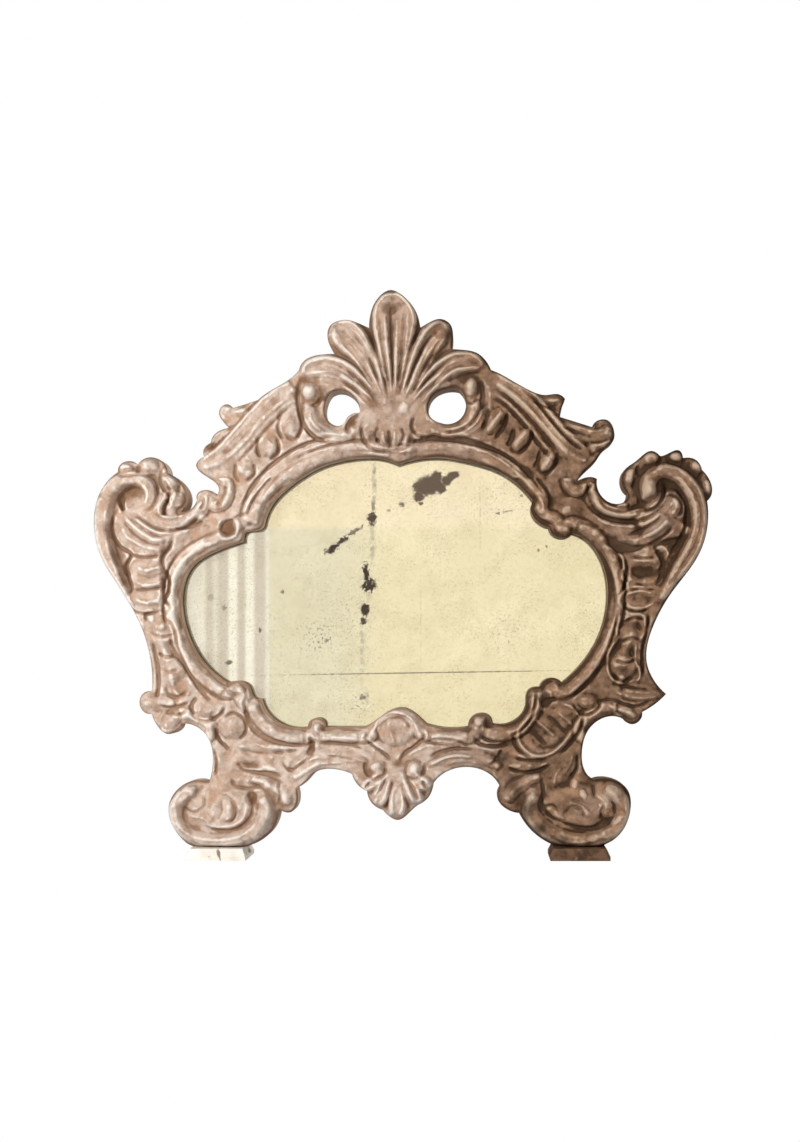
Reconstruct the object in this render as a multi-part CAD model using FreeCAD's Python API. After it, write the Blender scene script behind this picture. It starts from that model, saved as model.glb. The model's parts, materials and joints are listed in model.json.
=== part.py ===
import FreeCAD, Part
import os
from math import cos, pi, radians, sin

# A carved rococo frame with a mercury mirror plate, standing on two plinths.
# Millimetres. The frame faces -Y, +X is its right side, +Z is up, and the origin
# is on the table under the middle of the frame.

Vector = FreeCAD.Vector
ACROSS = Vector(1, 0, 0)
BACKWARD = Vector(0, 1, 0)
UP = Vector(0, 0, 1)

# Overall sizes
frame_width = 480.0
frame_height = 441.0
board_thickness = 20.0
board_front_reach = 6.0        # how far the boards' front plane stands before the origin

# The rebate and what lies in it
lip_thickness = 9.0
glass_thickness = 3.0
amalgam_thickness = 0.3
rebate_clearance = 0.8
plank_gap = 0.6
button_play = 0.3              # between the planks' back and the turn buttons

# How far each kind of carving rises from the boards
scroll_rise = 13.0
palmette_rise = 11.0
shell_rise = 12.0
rim_rise = 8.0
husk_rise = 10.0
boss_rise = 8.0
ruffle_rise = 8.0
leaf_rise = 6.0
moulding_rise = 6.0
carving_gap = 0.3              # left between neighbouring carvings

# Plinths
plinth_width = 46.0
plinth_depth = 48.0
plinth_height = 9.0
plinth_tread = 3.0             # height of the plain tread below the taper

# Dowels in the board joints
dowel_radius = 2.5
dowel_length = 24.0
dowel_clearance = 0.05

# Turn buttons and their pins
button_length = 36.0
button_width = 11.0
button_thickness = 3.0
pin_radius = 1.5
pin_depth = 11.0
pin_head_radius = 3.2
pin_head_height = 1.6
pin_clearance = 0.05

# Hanging ring and its staple
ring_radius = 11.0
ring_wire = 1.3
staple_wire = 1.1
staple_depth = 9.0
staple_stand = 3.2             # from the boards' back to the ring's axis
ring_play = 0.3

overrun = 2.0                  # how far a cutter passes the face that it cuts

# Places that follow
board_front = -board_front_reach
board_back = board_front + board_thickness
glass_front = board_front + lip_thickness
glass_back = glass_front + glass_thickness
amalgam_back = glass_back + amalgam_thickness
plank_back = board_back - button_play

# The photograph's frame: where the middle of the base is, and the object's span
FOOT_CENTRE_PIXEL = (403, 858)
SPAN_PIXELS = (618, 568)

# Outer outline, clockwise from the crest's left notch. Each run is a smooth curve and
# the runs meet at the carved notches and tips.
CREST_OUTLINE_PIXELS = [
    [(369, 328), (371, 312), (378, 298), (391, 290), (403, 296), (414, 308), (420, 328)],
    [(420, 328), (430, 322), (441, 319), (450, 324), (453, 335), (452, 349)],
    [(452, 349), (465, 350), (477, 353), (486, 361), (491, 370)],
]
RIGHT_SHOULDER_OUTLINE_PIXELS = [
    [(491, 370), (511, 380), (531, 391), (546, 395), (557, 394), (565, 399)],
    [(565, 399), (562, 407), (560, 417)],
    [(560, 417), (576, 422), (592, 427)],
    [(592, 427), (599, 420), (607, 420), (614, 431), (613, 441), (604, 449), (597, 459), (585, 471),
     (577, 481)],
]
RIGHT_EAR_OUTLINE_PIXELS = [
    [(577, 481), (584, 478), (591, 477), (597, 479)],
    [(597, 479), (600, 494), (611, 503), (622, 503), (628, 493)],
    [(628, 493), (622, 484), (623, 472), (636, 461), (650, 451), (660, 456)],
    [(660, 456), (669, 453), (677, 450), (683, 458)],
    [(683, 458), (696, 460), (702, 470)],
    [(702, 470), (710, 481), (712, 492), (707, 501)],
]
RIGHT_STILE_OUTLINE_PIXELS = [
    [(707, 501), (708, 520), (699, 554), (672, 592), (654, 624), (647, 664), (655, 682), (666, 694)],
    [(666, 694), (655, 704), (642, 712)],
    [(642, 712), (640, 720), (634, 724), (625, 720)],
]
RIGHT_LEG_OUTLINE_PIXELS = [
    [(625, 720), (606, 717), (589, 729), (582, 750), (584, 769), (593, 780)],
    [(593, 780), (610, 779), (627, 789), (630, 812), (619, 835), (608, 843)],
    [(608, 843), (578, 851), (549, 843)],
    [(549, 843), (532, 831), (519, 813)],
    [(519, 813), (505, 808), (498, 800), (500, 787)],
]
RAIL_OUTLINE_PIXELS = [
    [(500, 787), (488, 773), (465, 767), (446, 772), (433, 784)],
    [(433, 784), (430, 795), (420, 804)],
    [(420, 804), (411, 811), (397, 820), (389, 816), (383, 810)],
    [(383, 810), (371, 802), (367, 791)],
    [(367, 791), (358, 785), (352, 774)],
    [(352, 774), (334, 769), (316, 772), (305, 783), (296, 788)],
]
LEFT_LEG_OUTLINE_PIXELS = [
    [(296, 788), (298, 799), (294, 810), (279, 809)],
    [(279, 809), (275, 826), (251, 845)],
    [(251, 845), (220, 852), (188, 844)],
    [(188, 844), (173, 826), (169, 805), (178, 789), (192, 781), (209, 783)],
    [(209, 783), (213, 760), (207, 736), (193, 725), (181, 724)],
]
LEFT_STILE_OUTLINE_PIXELS = [
    [(181, 724), (177, 731), (168, 734), (160, 729), (152, 714)],
    [(152, 714), (141, 708), (140, 699), (152, 691)],
    [(152, 691), (151, 662), (141, 626), (117, 583), (99, 550), (94, 524), (100, 493), (118, 472)],
]
LEFT_EAR_OUTLINE_PIXELS = [
    [(118, 472), (121, 464), (129, 461), (138, 465)],
    [(138, 465), (146, 458), (156, 458), (168, 473)],
    [(168, 473), (180, 481), (187, 492), (182, 512)],
    [(182, 512), (191, 509), (197, 500)],
    [(197, 500), (198, 493), (205, 490), (217, 496)],
]
LEFT_SHOULDER_OUTLINE_PIXELS = [
    [(217, 496), (218, 486), (209, 478), (196, 465)],
    [(196, 465), (199, 460), (204, 457)],
    [(204, 457), (204, 449), (211, 443)],
    [(211, 443), (215, 434), (221, 430), (229, 428)],
    [(229, 428), (222, 420), (219, 412), (224, 405), (233, 408)],
    [(233, 408), (246, 404), (258, 400)],
    [(258, 400), (270, 391), (287, 381), (299, 370)],
]
CREST_LEFT_OUTLINE_PIXELS = [
    [(299, 370), (304, 361), (318, 355), (338, 354)],
    [(338, 354), (328, 340), (330, 326), (343, 320), (358, 323), (369, 328)],
]
OUTER_OUTLINE_PIXELS = (
    CREST_OUTLINE_PIXELS + RIGHT_SHOULDER_OUTLINE_PIXELS + RIGHT_EAR_OUTLINE_PIXELS
    + RIGHT_STILE_OUTLINE_PIXELS + RIGHT_LEG_OUTLINE_PIXELS + RAIL_OUTLINE_PIXELS
    + LEFT_LEG_OUTLINE_PIXELS + LEFT_STILE_OUTLINE_PIXELS + LEFT_EAR_OUTLINE_PIXELS
    + LEFT_SHOULDER_OUTLINE_PIXELS + CREST_LEFT_OUTLINE_PIXELS
)

# The two holes pierced through the crest
PIERCED_HOLE_PIXELS = [
    [
        [(331, 393), (325, 406), (327, 419), (338, 426), (345, 422)],
        [(345, 422), (350, 415), (360, 413)],
        [(360, 413), (356, 400), (344, 391), (331, 393)],
    ],
    [
        [(459, 389), (466, 404), (462, 417), (450, 424), (441, 423)],
        [(441, 423), (428, 410), (432, 397), (445, 389), (459, 389)],
    ],
]

# The sight opening, clockwise from the dip under the crest
SIGHT_PIXELS = [
    [(398, 464), (415, 459), (440, 457), (470, 462), (500, 472), (525, 491), (533, 501)],
    [(533, 501), (531, 511), (537, 521), (549, 527)],
    [(549, 527), (558, 537), (567, 537), (573, 533)],
    [(573, 533), (590, 543), (604, 567), (608, 598), (597, 641), (579, 667), (562, 683)],
    [(562, 683), (554, 678), (545, 680), (540, 687)],
    [(540, 687), (529, 690), (526, 700)],
    [(526, 700), (522, 714), (510, 723), (493, 724)],
    [(493, 724), (488, 715), (478, 714), (468, 727)],
    [(468, 727), (446, 728), (426, 724)],
    [(426, 724), (415, 714), (403, 708), (391, 710), (377, 719), (364, 727)],
    [(364, 727), (325, 727)],
    [(325, 727), (321, 719), (313, 719), (308, 727)],
    [(308, 727), (286, 726), (270, 716), (261, 699)],
    [(261, 699), (252, 696), (248, 686), (238, 681), (228, 683)],
    [(228, 683), (202, 661), (184, 624), (181, 595), (190, 568), (215, 551), (243, 541)],
    [(243, 541), (247, 531), (256, 530), (264, 522)],
    [(264, 522), (273, 502), (293, 483), (322, 466), (355, 458), (380, 458), (398, 464)],
]

# The rebate behind the sight is chopped with straight cuts, and so is the glass
REBATE_PIXELS = [
    (310, 447), (490, 447), (545, 490), (570, 519), (619, 558), (619, 646), (547, 706),
    (524, 738), (262, 738), (226, 706), (171, 636), (171, 554), (240, 500),
]
PLANK_JOINT_PIXEL = (368, 600)

# Where the boards are jointed. Each line starts in the sight, and its first stretch is
# the joint itself, ending just outside; the rest keeps clear of the outline.
JOINT_LINE_PIXELS = {
    "crest_right": [(478, 500), (494, 364), (500, 200)],
    "shoulder_right": [(530, 545), (583, 476), (606, 469), (617, 458), (625, 420), (700, 200)],
    "leg_right": [(510, 670), (612, 721), (614, 745), (760, 770)],
    "rail_right": [(484, 690), (484, 790), (484, 950)],
    "rail_left": [(316, 690), (316, 790), (316, 950)],
    "leg_left": [(290, 670), (184, 729), (183, 755), (40, 780)],
    "shoulder_left": [(265, 565), (212, 490), (203, 483), (195, 478), (184, 450), (100, 200)],
    "crest_left": [(312, 500), (296, 364), (300, 200)],
}
# Each board lies between two joint lines, with the far corners that close its zone
BOARD_ZONES = {
    "crest_board": ("crest_left", [], "crest_right"),
    "right_shoulder_board": ("crest_right", [], "shoulder_right"),
    "right_stile_board": ("shoulder_right", [(760, 200)], "leg_right"),
    "right_leg_board": ("leg_right", [(760, 950)], "rail_right"),
    "bottom_rail_board": ("rail_right", [], "rail_left"),
    "left_leg_board": ("rail_left", [(40, 950)], "leg_left"),
    "left_stile_board": ("leg_left", [(40, 200)], "shoulder_left"),
    "left_shoulder_board": ("shoulder_left", [], "crest_left"),
}
# Dowels, as shares of the way along each joint's first stretch
DOWEL_SHARES = {
    "crest_right": [0.58, 0.78], "shoulder_right": [0.61], "leg_right": [0.60],
    "rail_right": [0.58], "rail_left": [0.58], "leg_left": [0.60],
    "shoulder_left": [0.70], "crest_left": [0.60, 0.79],
}

# Carving paths: each row is a place and the half width there
PALMETTE_PIXELS = [
    [(395, 404, 5), (394, 372, 9), (394, 340, 19), (395, 316, 22), (394, 301, 17), (393, 294, 8)],
    [(388, 405, 4), (376, 380, 7), (362, 355, 11), (349, 338, 16), (341, 330, 13), (337, 326, 6)],
    [(402, 405, 4), (410, 380, 7), (422, 354, 10), (434, 337, 13), (441, 328, 10), (444, 324, 5)],
    [(384, 409, 4), (368, 390, 7), (348, 375, 10), (327, 368, 11), (311, 370, 8), (305, 376, 4)],
    [(405, 409, 4), (418, 390, 7), (437, 375, 9), (457, 365, 11), (473, 364, 9), (481, 369, 4)],
]
CREST_SCROLL_PIXELS = {
    "left": [(308, 404, 6), (312, 420, 9), (325, 434, 8), (342, 437, 7), (356, 431, 6), (364, 424, 4)],
    "right": [(475, 402, 5), (474, 417, 8), (463, 430, 7), (446, 433, 6), (430, 429, 5), (421, 422, 4)],
}
SHOULDER_RIM_PIXELS = {
    "left": [(293, 386, 7), (276, 399, 9), (257, 416, 10), (240, 436, 10), (222, 455, 10), (204, 465, 5)],
    "right": [(498, 381, 7), (519, 393, 9), (539, 411, 10), (557, 432, 10), (575, 450, 10), (588, 458, 6)],
}
EAR_SCROLL_PIXELS = {
    "left": [(136, 511, 3), (149, 507, 5), (153, 494, 7), (146, 483, 8), (130, 480, 9), (113, 491, 10),
             (105, 516, 10), (106, 541, 10), (114, 566, 9), (126, 589, 6), (135, 606, 3)],
    "right": [(648, 498, 9), (647, 485, 9), (655, 474, 8), (669, 472, 8), (684, 482, 9), (695, 501, 10),
              (698, 522, 9), (693, 545, 10), (681, 566, 9), (668, 585, 6), (659, 600, 3)],
}
EAR_SADDLE_PIXELS = {
    "left": [(150, 518, 5), (168, 523, 6), (186, 521, 6), (199, 512, 6), (206, 502, 5), (206, 494, 3)],
    "right": [(646, 512, 5), (630, 514, 6), (612, 512, 6), (599, 505, 6), (592, 494, 5), (592, 483, 4)],
}
HUSK_DROP_PIXELS = {
    "left": [(146, 528, 16), (146, 541, 25), (149, 556, 13), (150, 572, 17), (151, 589, 11), (150, 602, 16),
             (153, 616, 9), (160, 630, 13), (164, 645, 7), (169, 660, 9), (174, 677, 13), (181, 697, 5)],
    "right": [(661, 513, 10), (652, 532, 19), (645, 550, 11), (644, 568, 17), (641, 589, 10), (638, 602, 16),
              (635, 616, 9), (631, 630, 13), (627, 644, 8), (624, 658, 12), (622, 670, 13), (620, 683, 6)],
}
SIDE_LEAF_PIXELS = {
    "left": [[(176, 703, 5), (163, 703, 8), (151, 703, 7), (144, 703, 4)],
             [(180, 713, 4), (172, 720, 7), (168, 729, 4)]],
    "right": [[(622, 693, 6), (638, 692, 9), (651, 693, 7), (661, 694, 3)],
              [(616, 708, 4), (627, 711, 6), (634, 718, 4)]],
}
SIGHT_MOULDING_PIXELS = {
    "top_left": [(390, 455, 5), (364, 449, 7), (330, 453, 8), (299, 467, 9), (270, 487, 9), (252, 508, 8),
                 (247, 522, 5)],
    "top_right": [(406, 455, 5), (435, 448, 7), (466, 451, 8), (496, 461, 9), (522, 478, 9), (540, 498, 8),
                  (545, 511, 5)],
    "left": [(236, 537, 4), (213, 546, 7), (189, 560, 8), (174, 581, 8), (171, 606, 8), (176, 632, 8),
             (188, 657, 9), (205, 678, 8), (224, 692, 6)],
    "right": [(578, 527, 5), (597, 540, 8), (612, 563, 8), (618, 591, 8), (615, 620, 8), (605, 647, 9),
              (590, 669, 8), (572, 686, 7), (556, 692, 5)],
    "bottom_left": [(253, 704, 5), (258, 717, 7), (270, 729, 8), (288, 735, 8), (305, 736, 6)],
    "bottom_right": [(534, 704, 5), (530, 717, 7), (518, 728, 8), (502, 733, 8), (485, 732, 6)],
    "rail_left": [(321, 736, 5), (340, 735, 7), (359, 737, 5)],
    "rail_right": [(468, 735, 5), (449, 736, 7), (430, 737, 5)],
}
SHOULDER_LEAF_PIXELS = {
    "left": [[(251, 412, 3), (242, 411, 5), (231, 411, 5), (225, 409, 3)],
             [(232, 432, 3), (222, 435, 5), (215, 440, 5), (209, 449, 4)]],
    "right": [[(536, 399, 3), (546, 401, 5), (555, 401, 4), (560, 399, 2)],
              [(561, 426, 4), (577, 431, 6), (592, 436, 8), (605, 433, 8), (606, 425, 4)]],
}
FOOT_SCROLL_PIXELS = {
    "left": [(197, 791, 6), (181, 799, 8), (177, 815, 8), (189, 832, 8), (213, 840, 8), (239, 838, 9),
             (259, 827, 9), (267, 811, 8), (263, 797, 5)],
    "right": [(604, 788, 6), (619, 797, 8), (622, 814, 8), (610, 831, 8), (585, 839, 8), (558, 835, 9),
              (539, 823, 9), (530, 807, 8), (536, 794, 5)],
}
FOOT_LEAF_PIXELS = {
    "left": [(252, 777, 5), (268, 783, 7), (281, 793, 8), (288, 803, 6)],
    "right": [(540, 776, 5), (524, 782, 7), (512, 791, 8), (506, 800, 6)],
}
RAIL_LEAF_PIXELS = {
    "left": [(293, 770, 3), (303, 762, 6), (319, 757, 8), (338, 756, 8), (355, 758, 5), (367, 763, 2)],
    "right": [(500, 768, 3), (490, 761, 6), (474, 757, 8), (456, 757, 8), (440, 760, 5), (429, 765, 2)],
}
SHELL_PIXELS = [
    [(397, 772, 4), (398, 788, 7), (398, 804, 9), (397, 814, 6)],
    [(390, 773, 3), (385, 787, 6), (380, 799, 7), (378, 804, 4)],
    [(405, 773, 3), (411, 787, 6), (417, 798, 6), (418, 802, 4)],
    [(384, 772, 3), (375, 780, 6), (366, 785, 6), (361, 784, 4)],
    [(412, 772, 3), (421, 780, 6), (427, 785, 6), (429, 787, 4)],
]

# Rounded bosses: each row is a place, two radii and a turn in degrees
SHOULDER_BOSS_PIXELS = {
    "left": [(291, 425, 8, 15, 10), (268, 446, 8, 14, 35), (245, 470, 7, 12, 40)],
    "right": [(494, 421, 7, 15, -28), (521, 440, 7, 14, -35), (547, 462, 7, 12, -30)],
}
RUFFLE_PIXELS = {
    "left": [(127, 469, 8, 6, 0), (151, 467, 10, 8, 0), (171, 482, 10, 7, -40), (178, 499, 7, 9, 0)],
    "right": [(630, 477, 7, 10, -20), (650, 459, 9, 7, 20), (675, 457, 8, 6, 0), (695, 467, 7, 6, -30),
              (706, 487, 5, 8, 0)],
}
SIGHT_EYE_PIXELS = {
    "top_left": [(250, 520, 5, 4, 0)],
    "top_right": [(542, 508, 7, 8, 0)],
    "left": [(237, 688, 9, 6, -15)],
    "right": [(563, 530, 9, 5, -20), (550, 687, 9, 6, 10)],
    "bottom_left": [(255, 702, 5, 5, 0)],
    "bottom_right": [(533, 702, 6, 7, 0), (480, 720, 7, 6, 0)],
    "rail_left": [(319, 728, 5, 6, 0)],
    "rail_right": [],
}
CREST_EYE_PIXELS = {
    "left": (310, 392, 9, 9, 0),
    "right": (471, 388, 7, 11, 0),
}
KNOT_PIXELS = [(389, 441, 11, 8, 0), (371, 437, 6, 7, 0), (408, 440, 6, 7, 0)]
LEG_PANEL_PIXELS = {
    "left": [(205, 708, 13, 9, 0), (232, 727, 14, 12, 0)],
    "right": [(587, 701, 10, 8, 0), (552, 727, 17, 24, -45)],
}
FOOT_EYE_PIXELS = {
    "left": (221, 809, 20, 14, 0),
    "right": (577, 808, 22, 15, 0),
}
CABOCHON_PIXEL = (396, 730, 20, 16, 0)
SHELL_EYE_PIXELS = [(377, 766, 8, 7, 0), (414, 767, 8, 7, 0)]
SHELL_ROOT_PIXEL = (397, 775, 17, 8, 0)

# Plinths, turn buttons and hanging ring
PLINTH_PIXELS = {"left": (219, 858), "right": (579, 858)}
BUTTON_PIXELS = {
    "upper_left": (266, 461, 52), "upper_right": (527, 458, -52),
    "lower_left": (187, 678, -38), "lower_right": (594, 682, 50),
}
STAPLE_PIXEL = (395, 372)

# Carved sections from edge to edge, as shares of the half width and of the rise
ROUND_SHARES = [(-1.0, 0.0), (-0.9, 0.55), (-0.4, 1.0), (0.4, 1.0), (0.9, 0.55), (1.0, 0.0)]
FLUTE_SHARES = [(-1.0, 0.0), (-0.95, 0.85), (-0.6, 1.0), (0.0, 0.55), (0.6, 1.0), (0.95, 0.85), (1.0, 0.0)]
RIDGE_SHARES = [(-1.0, 0.0), (-0.8, 0.5), (0.0, 1.0), (0.8, 0.5), (1.0, 0.0)]
BOSS_LEVEL_SHARES = [(1.0, 0.0), (0.88, 0.55), (0.45, 1.0)]
NARROW_RISE_SHARE = 0.65       # rise kept where a carved band runs thin
BOSS_SIDES = 12
PLINTH_TOP_SHARE = 0.88
BUTTON_TIP_SHARE = 0.45


def pixel_scale():
    return frame_width / SPAN_PIXELS[0]


def spot(pixel, depth):
    """The point of the frame that a photo pixel shows, at the given depth."""
    across = (pixel[0] - FOOT_CENTRE_PIXEL[0]) / SPAN_PIXELS[0] * frame_width
    up = (FOOT_CENTRE_PIXEL[1] - pixel[1]) / SPAN_PIXELS[1] * frame_height
    return Vector(across, depth, up)


def smooth_curve(points):
    curve = Part.BSplineCurve()
    curve.interpolate(points)
    return curve


def outline_face(runs, depth):
    edges = []
    for run in runs:
        points = [spot(pixel, depth) for pixel in run]
        edges.append(smooth_curve(points).toShape())
    return Part.Face(Part.Wire(edges))


def polygon_face(points):
    return Part.Face(Part.makePolygon(points + points[:1]))


def slab(face, thickness):
    return face.extrude(BACKWARD * thickness)


def rod(start, direction, radius, length):
    return Part.makeCylinder(radius, length, start, direction)


def band(path, rise, section_shares, grow):
    """A carved band on the boards' front, lofted along a path of places and half widths.

    Grown by a clearance it is a cutter, which also passes below the boards' front.
    """
    places = [Vector(row[0], row[1], 0) for row in path]
    course = smooth_curve(places)
    widest = max(row[2] for row in path)
    sections = []
    for place, row in zip(places, path):
        ahead = course.tangent(course.parameter(place))[0]
        half = row[2] + grow / pixel_scale()
        width_share = row[2] / widest
        height = rise * (NARROW_RISE_SHARE + (1 - NARROW_RISE_SHARE) * width_share) + grow
        profile = [(half * side_share, height * rise_share) for side_share, rise_share in section_shares]
        if grow:
            profile = [(-half, -overrun)] + profile + [(half, -overrun)]
        corners = []
        for aside, level in profile:
            pixel = (place.x - ahead.y * aside, place.y + ahead.x * aside)
            corners.append(spot(pixel, board_front - level))
        sections.append(Part.makePolygon(corners + corners[:1]))
    return Part.makeLoft(sections, True, False)


def boss(row, rise, grow):
    """A faceted oval boss on the boards' front, or its grown cutter."""
    radii = [radius + grow / pixel_scale() for radius in row[2:4]]
    turn = radians(row[4])
    levels = [(size_share, (rise + grow) * rise_share) for size_share, rise_share in BOSS_LEVEL_SHARES]
    if grow:
        levels.insert(0, (levels[0][0], -overrun))
    rings = []
    for size_share, level in levels:
        corners = []
        for step in range(BOSS_SIDES):
            angle = step * 2 * pi / BOSS_SIDES
            wide = radii[0] * size_share * cos(angle)
            tall = radii[1] * size_share * sin(angle)
            pixel = (row[0] + wide * cos(turn) - tall * sin(turn),
                     row[1] - wide * sin(turn) - tall * cos(turn))
            corners.append(spot(pixel, board_front - level))
        rings.append(Part.makePolygon(corners + corners[:1]))
    return Part.makeLoft(rings, True, True)


def plinth_slab_below():
    """Everything below the plinths' top, where the feet are cut flat."""
    low = Vector(-frame_width, -frame_width, -frame_height)
    return Part.makeBox(frame_width * 2, frame_width * 2, frame_height + plinth_height, low)


# Boards

def rebate_points(depth):
    return [spot(pixel, depth) for pixel in REBATE_PIXELS]


def frame_blank():
    """The whole flat frame before it is parted into boards."""
    face = outline_face(OUTER_OUTLINE_PIXELS, board_front)
    openings = [outline_face(SIGHT_PIXELS, board_front - overrun)]
    openings += [outline_face(runs, board_front - overrun) for runs in PIERCED_HOLE_PIXELS]
    cutters = [slab(opening, board_thickness + overrun * 2) for opening in openings]
    rebate = polygon_face(rebate_points(glass_front))
    cutters.append(slab(rebate, board_back - glass_front + overrun))
    cutters.append(plinth_slab_below())
    return slab(face, board_thickness).cut(cutters)


def joint_stretch(name):
    """The two ends of a joint, in the middle of the lip's thickness."""
    depth = board_front + lip_thickness / 2
    return [spot(pixel, depth) for pixel in JOINT_LINE_PIXELS[name][:2]]


def dowel_rods(clearance):
    rods = []
    for name, shares in DOWEL_SHARES.items():
        start, end = joint_stretch(name)
        along = (end - start).normalize()
        through = along.cross(BACKWARD)
        reach = dowel_length / 2 + clearance
        for share in shares:
            middle = start + (end - start) * share
            rods.append(rod(middle - through * reach, through, dowel_radius + clearance, reach * 2))
    return rods


def boards():
    blank = frame_blank()
    holes = dowel_rods(dowel_clearance) + pin_shanks(pin_clearance) + [staple_wire_form(pin_clearance)]
    made = {}
    for name, (first, corners, last) in BOARD_ZONES.items():
        line = JOINT_LINE_PIXELS[first] + corners + JOINT_LINE_PIXELS[last][::-1]
        zone = polygon_face([spot(pixel, board_front - overrun) for pixel in line])
        board = blank.common(slab(zone, board_thickness + overrun * 2))
        made[name] = board.cut(holes)
    return made


# Carvings: each returns its solids, grown by a clearance where asked

def palmette(grow):
    return [band(path, palmette_rise, FLUTE_SHARES, grow) for path in PALMETTE_PIXELS]


def crest_knot(grow):
    return [boss(row, boss_rise, grow) for row in KNOT_PIXELS]


def crest_scroll(side, grow):
    scroll = band(CREST_SCROLL_PIXELS[side], rim_rise, ROUND_SHARES, grow)
    return [scroll, boss(CREST_EYE_PIXELS[side], boss_rise, grow)]


def shoulder_rim(side, grow):
    return [band(SHOULDER_RIM_PIXELS[side], rim_rise, FLUTE_SHARES, grow)]


def shoulder_bosses(side, grow):
    return [boss(row, boss_rise, grow) for row in SHOULDER_BOSS_PIXELS[side]]


def shoulder_leaf(side, grow):
    return [band(path, leaf_rise, RIDGE_SHARES, grow) for path in SHOULDER_LEAF_PIXELS[side]]


def ear_scroll(side, grow):
    return [band(EAR_SCROLL_PIXELS[side], scroll_rise, ROUND_SHARES, grow)]


def ear_ruffle(side, grow):
    return [boss(row, ruffle_rise, grow) for row in RUFFLE_PIXELS[side]]


def ear_saddle(side, grow):
    return [band(EAR_SADDLE_PIXELS[side], rim_rise, ROUND_SHARES, grow)]


def husk_drop(side, grow):
    return [band(HUSK_DROP_PIXELS[side], husk_rise, RIDGE_SHARES, grow)]


def side_leaf(side, grow):
    return [band(path, leaf_rise, RIDGE_SHARES, grow) for path in SIDE_LEAF_PIXELS[side]]


def sight_moulding(place, grow):
    moulding = band(SIGHT_MOULDING_PIXELS[place], moulding_rise, ROUND_SHARES, grow)
    return [moulding] + [boss(row, boss_rise, grow) for row in SIGHT_EYE_PIXELS[place]]


def leg_panel(side, grow):
    return [boss(row, leaf_rise, grow) for row in LEG_PANEL_PIXELS[side]]


def foot_scroll(side, grow):
    scroll = band(FOOT_SCROLL_PIXELS[side], scroll_rise, ROUND_SHARES, grow)
    return [scroll, boss(FOOT_EYE_PIXELS[side], boss_rise, grow)]


def foot_leaf(side, grow):
    return [band(FOOT_LEAF_PIXELS[side], rim_rise, RIDGE_SHARES, grow)]


def rail_leaf(side, grow):
    return [band(RAIL_LEAF_PIXELS[side], leaf_rise, RIDGE_SHARES, grow)]


def bottom_cabochon(grow):
    return [boss(CABOCHON_PIXEL, boss_rise, grow)]


def bottom_shell(grow):
    flutes = [band(path, shell_rise, FLUTE_SHARES, grow) for path in SHELL_PIXELS]
    return flutes + [boss(row, boss_rise, grow) for row in SHELL_EYE_PIXELS + [SHELL_ROOT_PIXEL]]


def carving_makers():
    """Every carving's name and maker, those in front first."""
    makers = [("crest_palmette", palmette), ("bottom_shell", bottom_shell)]
    for side in ("left", "right"):
        for name, maker in SIDE_CARVINGS.items():
            makers.append((side + "_" + name, lambda grow, m=maker, s=side: m(s, grow)))
    for place in SIGHT_MOULDING_PIXELS:
        makers.append((place + "_sight_moulding", lambda grow, p=place: sight_moulding(p, grow)))
    return makers + [("crest_knot", crest_knot), ("bottom_cabochon", bottom_cabochon)]


SIDE_CARVINGS = {
    "ear_scroll": ear_scroll, "foot_scroll": foot_scroll, "crest_scroll": crest_scroll,
    "shoulder_rim": shoulder_rim, "shoulder_bosses": shoulder_bosses,
    "shoulder_leaf": shoulder_leaf, "ear_saddle": ear_saddle, "ear_ruffle": ear_ruffle,
    "husk_drop": husk_drop, "leg_panel": leg_panel, "foot_leaf": foot_leaf,
    "side_leaf": side_leaf, "rail_leaf": rail_leaf,
}


def carvings():
    """The carvings, each cut clear of those that stand before it."""
    made = {}
    standing = []
    for name, maker in carving_makers():
        solids = maker(0)
        shape = solids[0].fuse(solids[1:]) if len(solids) > 1 else solids[0]
        for cutter in standing + [plinth_slab_below()]:
            if cutter.BoundBox.intersect(shape.BoundBox):
                shape = shape.cut(cutter)
        made[name] = shape
        standing += maker(carving_gap)
    return made


# Glass, silvering and backboard

def rebate_plate(front, back):
    wire = Part.makePolygon(rebate_points(front) + rebate_points(front)[:1])
    inset = wire.makeOffset2D(-rebate_clearance, 2)
    return slab(Part.Face(inset), back - front)


def planks():
    whole = rebate_plate(amalgam_back, plank_back)
    seam = spot(PLANK_JOINT_PIXEL, 0).x
    low = Vector(seam, -frame_width, -frame_height)
    saw = Part.makeBox(plank_gap, frame_width * 2, frame_height * 3, low)
    halves = whole.cut(saw).Solids
    left, right = sorted(halves, key=lambda solid: solid.CenterOfMass.x)
    return {"left_backboard": left, "right_backboard": right}


# Fittings on the back

def button_places():
    return {name: (spot(row, board_back), row[2]) for name, row in BUTTON_PIXELS.items()}


def turn_buttons():
    made = {}
    half = button_length / 2
    wide = button_width / 2
    tip = wide * BUTTON_TIP_SHARE
    for name, (place, turn) in button_places().items():
        corners = [(-half, tip), (0, wide), (half, tip), (half, -tip), (0, -wide), (-half, -tip)]
        face = polygon_face([Vector(across, 0, up) for across, up in corners])
        plate = slab(face, button_thickness)
        bore = rod(Vector(0, 0, 0) - BACKWARD * overrun, BACKWARD, pin_radius + pin_clearance,
                   button_thickness + overrun * 2)
        button = plate.cut(bore)
        button.rotate(Vector(0, 0, 0), BACKWARD, turn)
        button.translate(place)
        made[name + "_turn_button"] = button
    return made


def pin_shanks(clearance):
    shanks = []
    for place, _ in button_places().values():
        start = place - BACKWARD * (pin_depth + clearance)
        length = pin_depth + clearance + button_thickness + button_play
        shanks.append(rod(start, BACKWARD, pin_radius + clearance, length))
    return shanks


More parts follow.
